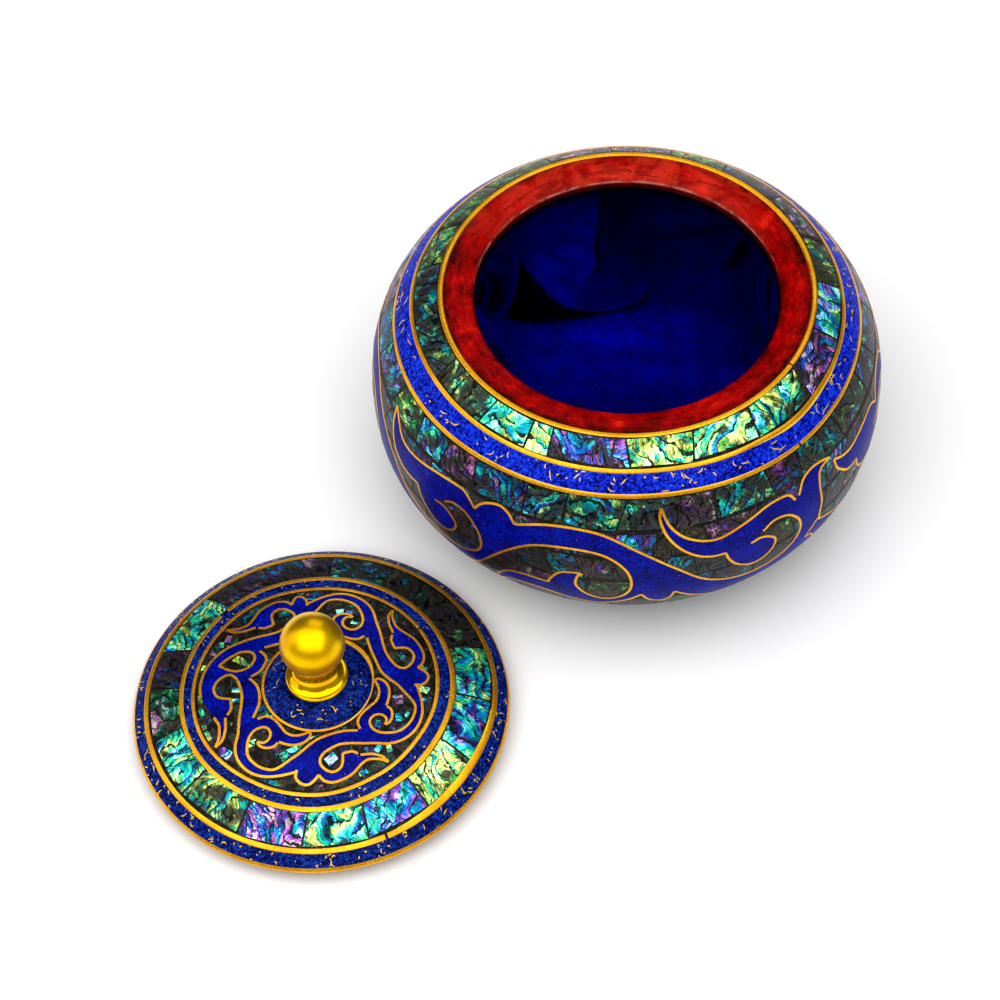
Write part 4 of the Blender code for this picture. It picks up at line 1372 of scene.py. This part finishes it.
TEARDROP = [(-106, 24.1), (-112, 22.6), (-118, 20.9), (-121, 19.1), (-121, 17.8), (-118, 16.9), (-112, 16.75),
            (-107, 17.5), (-104, 19.1), (-103.5, 20.9), (-105, 23), (-106, 24.1)]


def lid_strokes():
    """The strokes outside and inside the lid's scroll, in order round the lid, and the teardrop."""
    outside, inside = [], []
    for repeat in range(4):

        def placed(points):
            marks = [repeat + share for share, _ in points]
            bearings = np.interp(marks, SHARE_MARKS, SHARE_BEARINGS)
            return [(float(bearing), mark * MM) for bearing, (_, mark) in zip(bearings, points)]

        first, last = repeat == 0, repeat == 3
        if not first:
            outside.append(placed(OUTER_LOBE))
        outside += [placed(OUTER_LEAF_UNDER[5:] if first else OUTER_LEAF_UNDER), placed(OUTER_LEAF_TOP)]
        outside += [placed(OUTER_HOOK), placed(OUTER_STEM[:-3] if last else OUTER_STEM)]
        if not last:
            inside += [placed(stroke) for stroke in INNER_STROKES]
        if first:
            crest = [(bearing + 360, mark) for bearing, mark in placed(LAST_CREST)]
    inside += [[(bearing + 360, mark * MM) for bearing, mark in LAST_ARCH], crest]
    teardrop = [(bearing, mark * MM) for bearing, mark in TEARDROP]
    return outside, inside, teardrop


def chain(strokes):
    """One closed outline from smoothed strokes."""
    outline = []
    for stroke in strokes:
        outline += smooth_stroke(stroke)[:-1] if stroke is not strokes[-1] else smooth_stroke(stroke)
    clean = outline[:1]
    for mark in outline[1:]:
        if abs(mark[0] - clean[-1][0]) + abs(mark[1] - clean[-1][1]) / MM > 0.05:
            clean.append(mark)
    return clean


def lay_scroll(name, ground, outlines, cut, lines, width, finishes):
    """A sheet of lapis cut to outlines, and the cloison wires along its edges."""
    sheet = fill_pattern(f"{name}_lapis", ground, outlines, SCROLL_RISE, cut)
    finish_piece(sheet, finishes["lapis scroll"], "lapis")
    wires = lay_strips(f"{name}_wires", ground, lines, width, SCROLL_WIRE_RISE)
    finish_piece(wires, finishes["brass"], "brass_wire")
    return sheet, wires


def belly_scroll(finishes):
    over, under = belly_strokes()
    spur = [(SEAM_TIP + part, mark * MM) for part, mark in SEAM_SPUR]
    lines = [smooth_stroke(stroke) for stroke in over + under + [spur]]
    outlines = [chain(over), chain(under)]
    return lay_scroll("belly_scroll", BOWL, outlines, 3 * MM, lines, BELLY_CLOISON, finishes)


def lid_scroll(finishes):
    outside, inside, teardrop = lid_strokes()
    drop = smooth_stroke(teardrop)
    outlines = [chain(outside), chain(inside), drop[:-1]]
    lines = [smooth_stroke(stroke) for stroke in outside + inside] + [drop]
    return lay_scroll("lid_scroll", LID, outlines, 2.5 * MM, lines, LID_CLOISON, finishes)


# Rows of the belly's mosaic: reach of their upper edge, tiles round, darkness and lustre. The lustre falls
# and the darkness grows row by row towards the foot, as painted shade where the belly turns under
MOSAIC_ROWS = [(14.7, 30, 0.54, 0.84), (23.0, 38, 0.56, 0.65), (31.0, 40, 0.58, 0.52), (39.2, 42, 0.60, 0.44),
               (47.6, 40, 0.60, 0.38), (56.0, 35, 0.60, 0.34), (64.5, 32, 0.60, 0.32)]
MOSAIC_HUES = [0.06, 0.42, 0.46, 0.50, 0.53, 0.56, 0.59, 0.62, 0.66, 0.78]


def belly_mosaic(blank, shell):
    """Rows of sawn slips under the scroll, with uneven joints."""
    dice = random.Random(41)
    slips = []
    marks = [row[0] * MM for row in MOSAIC_ROWS] + [BELLY_END - 0.2 * MM]
    for row, (_, count, dark, lustre_and_painted_light) in enumerate(MOSAIC_ROWS):
        near, far = marks[row], marks[row + 1] - SLIP_JOINT
        turn = dice.uniform(0, 360)
        widths = [dice.uniform(0.7, 1.3) for _ in range(count)]
        ends = np.cumsum(widths) / sum(widths) * 360 + turn
        slants = [dice.uniform(-1.3, 1.3) for _ in range(count)]
        radius = float(np.interp((near + far) / 2, BOWL.reaches, BOWL.radii))
        half = math.degrees(SLIP_JOINT / 2 / radius)
        for index in range(count):
            start, end = ends[index - 1] - (360 if index == 0 else 0), ends[index]
            left, right = slants[index - 1], slants[index]
            corners = [
                (start + half - left, near + dice.uniform(0, 0.5) * MM),
                (end - half - right, near + dice.uniform(0, 0.5) * MM),
                (end - half + right, far - dice.uniform(0, 0.5) * MM),
                (start + half + left, far - dice.uniform(0, 0.5) * MM),
            ]
            tone = (dice.choice(MOSAIC_HUES) + dice.uniform(-0.03, 0.03), lustre_and_painted_light * dice.uniform(0.6, 1.6),
                    dark + dice.uniform(-0.10, 0.05), dice.uniform(0.36, 0.55))
            slips.append(saw_slip("mosaic_slip", blank, BOWL, corners, SHELL_RISE, 0.4, dice, tone))
    mosaic = join("belly_mosaic_slips", slips)
    lay_on(mosaic, BOWL)
    shade(mosaic)
    finish_piece(mosaic, shell, "belly_mosaic")
    return mosaic


# Chips of shell set between the lid's scrolls: bearing, mm from the axis, length, width, turn, hue, light
LID_CHIPS = [
    (-13.4, 17.9, 10.7, 2.1, 47, 0.40, 2.0), (8.8, 20.8, 2.9, 2.6, 30, 0.56, 3.0),
    (-44.8, 21.3, 2.6, 1.8, 60, 0.33, 2.6), (-51.8, 27.0, 3.4, 2.4, 10, 0.62, 2.2),
    (84.4, 25.8, 2.8, 1.8, 80, 0.33, 2.2), (74.5, 20.3, 2.8, 2.3, 20, 0.86, 0.8),
    (50.0, 18.8, 2.0, 1.6, 30, 0.40, 1.4), (166.2, 21.4, 1.9, 1.6, 20, 0.33, 2.2),
    (152.9, 19.1, 2.2, 1.1, 15, 0.42, 2.0), (160.0, 21.6, 1.5, 1.2, 10, 0.56, 1.2),
    (-88.1, 18.9, 2.4, 1.3, 80, 0.40, 1.5), (-79.9, 19.3, 2.0, 1.1, 80, 0.42, 1.3),
    (-53.5, 14.4, 2.0, 1.5, 20, 0.32, 1.9), (-47.0, 14.3, 1.6, 1.2, 30, 0.42, 1.4),
    (-112.2, 19.3, 4.6, 1.9, 80, 0.28, 1.3), (-123.7, 25.6, 2.2, 1.6, 20, 0.60, 1.2),
    (-114.6, 26.8, 3.0, 1.6, 0, 0.86, 1.3), (-119.0, 26.2, 1.8, 1.3, 30, 0.42, 1.3),
    (-103.9, 27.6, 1.8, 1.1, 0, 0.34, 1.6), (-64.8, 27.6, 2.8, 1.1, 0, 0.36, 1.4),
    (-78.3, 27.2, 2.2, 1.2, 10, 0.50, 1.2), (-70.0, 27.6, 1.8, 1.1, 5, 0.40, 1.2),
    (-86.0, 27.2, 2.4, 1.3, 0, 0.16, 1.1), (184.0, 26.1, 2.6, 2.0, 0, 0.44, 1.1),
    (-158.4, 22.2, 2.6, 1.8, 20, 0.48, 0.8), (-138.8, 16.9, 2.2, 1.6, 0, 0.30, 0.9),
    (42.6, 25.2, 2.4, 1.4, 60, 0.30, 1.5), (37.7, 23.5, 2.2, 1.5, 20, 0.38, 1.3),
    (47.0, 25.6, 1.8, 1.2, 40, 0.80, 1.1), (22.7, 26.8, 1.8, 1.2, 0, 0.40, 1.0),
    (-22.0, 27.5, 2.2, 1.0, 0, 0.56, 0.9), (62.2, 22.0, 2.6, 1.6, 40, 0.42, 1.2),
    (66.0, 23.5, 1.6, 1.0, 0, 0.34, 1.4), (109.0, 21.2, 2.2, 1.6, 20, 0.56, 0.7),
    (98.2, 25.5, 2.4, 1.4, 60, 0.46, 0.8), (90.0, 26.2, 1.6, 1.0, 0, 0.60, 1.0),
    (78.0, 25.8, 2.2, 1.0, 80, 0.52, 1.3),
]
FIELD_ROWS = [(13.1, 17.0, 22), (17.2, 21.0, 28), (21.2, 24.9, 32), (25.1, 28.5, 38)]


def lid_chips(blank, shell):
    """Dark slips and small bright chips of shell in the black ground of the lid."""
    dice = random.Random(57)
    chips = []
    for near, far, count in FIELD_ROWS:
        turn = dice.uniform(0, 360)
        step = 360 / count
        for index in range(count):
            if dice.random() < 0.2:
                continue
            start = turn + step * (index + dice.uniform(0.0, 0.2))
            end = turn + step * (index + dice.uniform(0.75, 0.98))
            corners = [(start, (near + dice.uniform(0, 0.8)) * MM), (end, (near + dice.uniform(0, 0.8)) * MM),
                       (end - dice.uniform(-2, 2), (far - dice.uniform(0, 0.8)) * MM),
                       (start + dice.uniform(-2, 2), (far - dice.uniform(0, 0.8)) * MM)]
            tone = (dice.choice(MOSAIC_HUES), dice.uniform(0.25, 0.8), dice.uniform(0.53, 0.62),
                    dice.uniform(0.36, 0.5))
            chips.append(saw_slip("chip", blank, LID, corners, SHELL_RISE - 0.04 * MM, 0.5, dice, tone))
    chosen = [(*chip, 0.12, 0.2) for chip in LID_CHIPS]
    for _ in range(90):
        chosen.append((dice.uniform(-180, 180), dice.uniform(13.8, 27.8), dice.uniform(0.6, 1.7),
                       dice.uniform(0.4, 1.1), dice.uniform(-90, 90), dice.choice(MOSAIC_HUES),
                       dice.uniform(0.4, 1.1), 0.36, 0.5))
    for number, (bearing, mark, length, width, turn, hue, bright, dark, uneven) in enumerate(chosen):
        corners = []
        for side, end in ((-1, 1), (1, 1), (1, -1), (-1, -1)):
            x = side * length / 2 * dice.uniform(1 - uneven, 1.0)
            y = end * width / 2 * dice.uniform(1 - uneven, 1.0)
            if side > 0 and length > 4 * width:
                y *= 0.15
            bent = math.radians(turn)
            around = x * math.cos(bent) - y * math.sin(bent)
            outward = x * math.sin(bent) + y * math.cos(bent)
            corners.append((bearing + math.degrees(around / mark), (mark - outward) * MM))
        tone = (hue + dice.uniform(-0.02, 0.02), bright, dark, 0.10 if uneven < 0.5 else 0.30)
        rise = SHELL_RISE - 0.006 * MM - 0.002 * MM * (number % 12)
        chips.append(saw_slip("chip", blank, LID, corners, rise, 1.0, dice, tone))
    field = join("lid_field_chips", chips)
    lay_on(field, LID)
    shade(field)
    finish_piece(field, shell, "scroll_field")
    return field


def brass_filings(name, ground, count, near, far, longest, widest, metal, node, seed):
    """Curls and flecks of brass filings cast into the lapis."""
    dice = random.Random(seed)
    curls = []
    for _ in range(count):
        bearing, reach = dice.uniform(-180, 180), dice.uniform(near, far)
        radius = float(np.interp(reach, ground.reaches, ground.radii))
        length = longest * dice.uniform(0.2, 1.0) ** 1.4
        bend = dice.uniform(0.2, 2.4) * dice.choice((-1, 1))
        heading = dice.uniform(0, math.tau)
        marks = []
        x = y = 0.0
        for step in range(7):
            marks.append((bearing + math.degrees(x / radius), min(max(reach + y, near), far)))
            heading += bend / 6
            x += math.cos(heading) * length / 6
            y += math.sin(heading) * length / 6
        curls.append(marks)
    piece = lay_strips(name, ground, curls, widest, LAPIS_RISE + FILING_RISE, 0.2 * MM, tapered=True)
    finish_piece(piece, metal, "brass_wire", node)


def wide_part(name, ground, reach, start, end, metal, node):
    """The part of a wire that was ground deeper and shows wider."""
    stroke = [(float(bearing), reach) for bearing in np.linspace(start, end, 25)]
    piece = lay_strips(name, ground, [stroke], 1.1 * MM, WIRE_RISE - 0.01 * MM, tapered=True)
    finish_piece(piece, metal, "brass_wire", node)


def make_bowl(finishes, blank):
    """The bowl: body, lining and all its inlay."""
    make_bowl_body(finishes["red lacquer"])
    make_rim_wire(finishes["brass"])
    bed = ring("upper_filler_bed", BOWL, 0.2 * MM, UPPER_WIRE, FILLER_RISE, rows=6)
    finish_piece(bed, finishes["black filler"], "black_filler", "upper_filler")
    tile_slips("upper_slip", blank, BOWL, BOWL_JOINTS, 0.45 * MM, UPPER_WIRE - WIRE_WIDTH / 2,
               finishes["abalone"], UPPER_TONES, "upper_shell", seed=11)
    upper = wire_ring("upper_wire_strip", BOWL, UPPER_WIRE)
    finish_piece(upper, finishes["brass"], "brass_wire", "upper_wire")
    lower = wire_ring("lower_wire_strip", BOWL, LOWER_WIRE, joint=41.0, gap=0.6)
    finish_piece(lower, finishes["brass"], "brass_wire", "lower_wire")
    wide_part("upper_wire_wide_part", BOWL, UPPER_WIRE + 0.4 * MM, 30, 66, finishes["ground brass"],
              "upper_wire")
    band = ring("lapis_band_grit", BOWL, UPPER_WIRE, LOWER_WIRE, LAPIS_RISE, rows=5)
    finish_piece(band, finishes["lapis band"], "lapis", "lapis_band")
    brass_filings("lapis_band_filings", BOWL, 150, UPPER_WIRE + 0.8 * MM, LOWER_WIRE - 0.9 * MM, 3.2 * MM,
                  0.30 * MM, finishes["filings"], "lapis_band", seed=71)
    belly = ring("belly_ground", BOWL, LOWER_WIRE, BELLY_END, FILLER_RISE, rows=36)
    finish_piece(belly, finishes["black filler"], "belly_mosaic", "belly_inlay")
    for piece in (*belly_scroll(finishes), belly_mosaic(blank, finishes["abalone"])):
        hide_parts("belly_inlay")
    velvet_lining(finishes["velvet"])


def make_lid_body(lacquer):
    """The turned lid: seat of the inlay, brim, and the boss underneath."""
    radii = np.linspace(0.0, LID_RADIUS - 1.4 * MM, 40)
    top = [(float(radius), float(dome_height(radius)) - SEAT_DEPTH) for radius in radii]
    worn = 0.5 * MM
    brim, brim_under = LID_RADIUS - 1.0 * MM, BOSS_HEIGHT + 0.05 * MM
    under = [(brim, EDGE_TOP - 0.1 * MM), (brim, brim_under), (BOSS_RADIUS, brim_under)]
    boss = arc((BOSS_RADIUS - worn, worn), worn, worn, np.linspace(0, -90, 5))
    section = top + under + boss + [(BOSS_RADIUS * 0.6, 0.0), (0.0, 0.0)]
    turned_piece("lid_body", section, 40, lacquer, "red_lacquer", "lid_core", open_at_axis=True,
                 place=LID.axis)


def make_knob(metal):
    """The turned brass knob: a ball on a flared foot with a small bead at its edge."""
    neck_turn = math.degrees(math.acos(NECK_RADIUS / BALL_RADIUS))
    ball = arc((0.0, KNOB_TOP - BALL_RADIUS), BALL_RADIUS, BALL_RADIUS, np.linspace(90, -neck_turn, 48))
    flare_foot = KNOB_SEAT + 1.2 * MM
    flare_centre = (KNOB_FOOT_RADIUS - 0.35 * MM, ball[-1][1])
    flare = arc(flare_centre, flare_centre[0] - NECK_RADIUS, flare_centre[1] - flare_foot,
                np.linspace(180, 270, 24)[1:])
    worn = 0.6 * MM
    bead = arc((KNOB_FOOT_RADIUS - worn, KNOB_SEAT + worn), worn, worn, np.linspace(81.406, -90, 12))
    section = ball + flare + bead + [(0.0, KNOB_SEAT)]
    turned_piece("brass_knob", section, 40, metal, "polished_brass", "knob", open_at_axis=True,
                 place=LID.axis)


def make_lid(finishes, blank):
    """The lid and its knob."""
    make_lid_body(finishes["red lacquer"])
    make_knob(finishes["polished brass"])
    half = 0.5 * MM
    rim = ring("lid_lapis_rim_grit", LID, OUTER_WIRE, LID_RADIUS - 0.5 * MM, LAPIS_RISE, rows=4)
    finish_piece(rim, finishes["lapis rim"], "lapis", "lid_lapis_rim")
    edge_section = [
        (LID_RADIUS - 1.2 * MM, BOSS_HEIGHT), (LID_RADIUS - 1.2 * MM, EDGE_TOP + 0.1 * MM),
        (LID_RADIUS - 0.5 * MM, EDGE_TOP + 0.42 * MM), (LID_RADIUS - 0.1 * MM, EDGE_TOP - 0.05 * MM),
        (LID_RADIUS, EDGE_TOP - 0.2 * MM), (LID_RADIUS, BOSS_HEIGHT + 0.1 * MM),
        (LID_RADIUS - 0.1 * MM, BOSS_HEIGHT),
    ]
    turned_piece("lid_edge_wire_strip", edge_section, 30, finishes["brass"], "brass_wire", "lid_edge_wire",
                 place=LID.axis)
    bed = ring("lid_filler_bed", LID, MIDDLE_WIRE, OUTER_WIRE, FILLER_RISE, rows=8)
    finish_piece(bed, finishes["black filler"], "black_filler", "lid_filler")
    tile_slips("lid_slip", blank, LID, LID_JOINTS, MIDDLE_WIRE + half + 0.1 * MM,
               OUTER_WIRE - half - 0.05 * MM, finishes["abalone"], LID_TONES, "lid_shell", seed=23)
    for name, reach, width, joint, gap, node in (
        ("lid_outer_wire_strip", OUTER_WIRE, 1.15 * MM, 21.0, 0.8, "lid_outer_wire"),
        ("lid_middle_wire_strip", MIDDLE_WIRE, 1.2 * MM, -139.0, 4.0, "lid_middle_wire"),
        ("lid_inner_wire_strip", INNER_WIRE, 0.9 * MM, 122.0, 0.8, "lid_inner_wire"),
        ("lid_centre_wire_strip", CENTRE_WIRE, 1.1 * MM, None, 0.0, "lid_centre_wire"),
    ):
        wire = wire_ring(name, LID, reach, width, joint, gap)
        finish_piece(wire, finishes["brass"], "brass_wire", node)
    wide_part("lid_outer_wire_wide_part", LID, OUTER_WIRE - 0.5 * MM, 26, 82, finishes["ground brass"],
              "lid_outer_wire")
    middle = ring("lid_lapis_ring_grit", LID, INNER_WIRE, MIDDLE_WIRE, LAPIS_RISE, rows=3)
    finish_piece(middle, finishes["lapis rim"], "lapis", "lid_lapis_ring")
    field = ring("lid_scroll_ground", LID, CENTRE_WIRE, INNER_WIRE, FILLER_RISE, rows=14)
    finish_piece(field, finishes["black filler"], "scroll_field", "lid_scroll_field")
    for piece in (*lid_scroll(finishes), lid_chips(blank, finishes["abalone"])):
        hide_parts("lid_scroll_field")
    for name, count, near, far, longest, width, node, seed in (
        ("lid_rim_filings", 170, OUTER_WIRE + 0.75 * MM, LID_RADIUS - 0.65 * MM, 1.7 * MM, 0.26 * MM,
         "lid_lapis_rim", 83),
        ("lid_ring_filings", 46, INNER_WIRE + 0.6 * MM, MIDDLE_WIRE - 0.7 * MM, 1.3 * MM, 0.22 * MM,
         "lid_lapis_ring", 89),
        ("lid_disc_filings", 40, KNOB_FOOT_RADIUS + 1.1 * MM, CENTRE_WIRE - 1.0 * MM, 2.0 * MM, 0.19 * MM,
         "lid_centre_disc", 97),
    ):
        ground = DISC if node == "lid_centre_disc" else LID
        brass_filings(name, ground, count, near, far, longest, width, finishes["filings"], node, seed)
    dome = list(zip(DISC.radii, DISC.heights))
    foot = DISC.heights[-1] - 1.5 * MM
    section = [(0.0, dome[0][1])] + dome + [(CENTRE_WIRE, foot), (0.0, foot)]
    turned_piece("lid_centre_grit", section, 40, finishes["lapis rim"], "lapis", "lid_centre_disc",
                 open_at_axis=True, place=LID.axis)


def make_camera():
    """The camera, where the photo was taken from."""
    pitch, roll = math.radians(53.191), math.radians(-2.658)
    forward = Vector((0.0, math.cos(pitch), -math.sin(pitch)))
    right = Vector((1.0, 0.0, 0.0))
    up = right.cross(forward)
    across = math.cos(roll) * right + math.sin(roll) * up
    over = -math.sin(roll) * right + math.cos(roll) * up
    camera = bpy.data.objects.new("camera", bpy.data.cameras.new("camera"))
    bpy.context.scene.collection.objects.link(camera)
    turned = (across, over, -forward)
    place = Matrix.Translation((-0.03244, -0.40049, 0.51752))
    camera.matrix_world = place @ Matrix(turned).transposed().to_4x4()
    camera.data.lens = 91.44
    camera.data.sensor_width = 36.0
    camera.data.clip_start = 0.01
    bpy.context.scene.camera = camera


def make_studio():
    """A pale floor, a large soft light overhead towards the front, and a dim grey room."""
    clear_selection()
    bpy.ops.mesh.primitive_plane_add(size=6.0, location=(0.0, 0.0, 0.0))
    floor = bpy.context.object
    floor.name = floor.data.name = "studio_floor"
    paper = Finish("studio paper")
    paper.set(Base_Color=(0.95, 0.95, 0.95), Roughness=0.9, Specular_IOR_Level=0.1)
    floor.data.materials.append(paper.material)
    for name, place, size, power in (
        ("softbox_overhead", (-0.05, -0.56, 1.78), (3.8, 3.0), 64.0),
        ("window_left", (-1.3, 0.1, 0.60), (0.9, 1.1), 3.0),
        ("window_back", (0.35, 1.5, 1.35), (1.3, 1.1), 5.5),
    ):
        lamp = bpy.data.lights.new(name, "AREA")
        lamp.shape = "RECTANGLE"
        lamp.size, lamp.size_y = size
        lamp.energy = power
        light = bpy.data.objects.new(name, lamp)
        light.location = place
        light.rotation_euler = (Vector((0.0, 0.0, 0.03)) - Vector(place)).to_track_quat("-Z", "Y").to_euler()
        bpy.context.scene.collection.objects.link(light)
    room = bpy.data.worlds.new("studio room")
    bpy.context.scene.world = room
    room.use_nodes = True
    tree = room.node_tree
    facing = tree.nodes.new("ShaderNodeSeparateXYZ")
    tree.links.new(tree.nodes.new("ShaderNodeTexCoord").outputs["Generated"], facing.inputs[0])
    walls = tree.nodes.new("ShaderNodeValToRGB")
    tree.links.new(facing.outputs["Y"], walls.inputs[0])
    front, back = walls.color_ramp.elements
    front.position, front.color = 0.0, (1.0, 1.0, 1.0, 1.0)
    back.position, back.color = 0.75, (0.10, 0.085, 0.075, 1.0)
    tree.links.new(walls.outputs[0], tree.nodes["Background"].inputs["Color"])
    tree.nodes["Background"].inputs["Strength"].default_value = 0.35
    view = bpy.context.scene.view_settings
    view.view_transform = "Standard"
    view.gamma = 0.88


def main():
    make_camera()
    make_studio()
    finishes = {
        "red lacquer": red_lacquer(),
        "brass": brass("brass wire", (0.98, 0.52, 0.02), 0.34, 0.82),
        "polished brass": brass("polished brass", (1.0, 0.64, 0.002), 0.12, 0.90,
                                KNOB_TOP - 2 * BALL_RADIUS + 1.2 * MM, 0.33),
        "filings": brass("brass filings", (1.0, 0.68, 0.015), 0.30, 0.45),
        "ground brass": brass("ground brass", (1.0, 0.76, 0.015), 0.34, 0.08),
        "lapis band": lapis("lapis band", 0.42 * MM, 0.25, 0.55, 1.0, 3.4),
        "lapis rim": lapis("lapis rim", 0.40 * MM, 0.07, 0.25, 0.85, 3.0),
        "lapis scroll": lapis("lapis scroll", 0.34 * MM, 0.27, 0.46, 0.65, 0.7),
        "abalone": abalone(),
        "black filler": black_filler(),
        "velvet": blue_velvet(),
    }
    blank = slip_blank()
    make_bowl(finishes, blank)
    make_lid(finishes, blank)
    bpy.data.objects.remove(blank)


main()
bpy.context.view_layer.update()
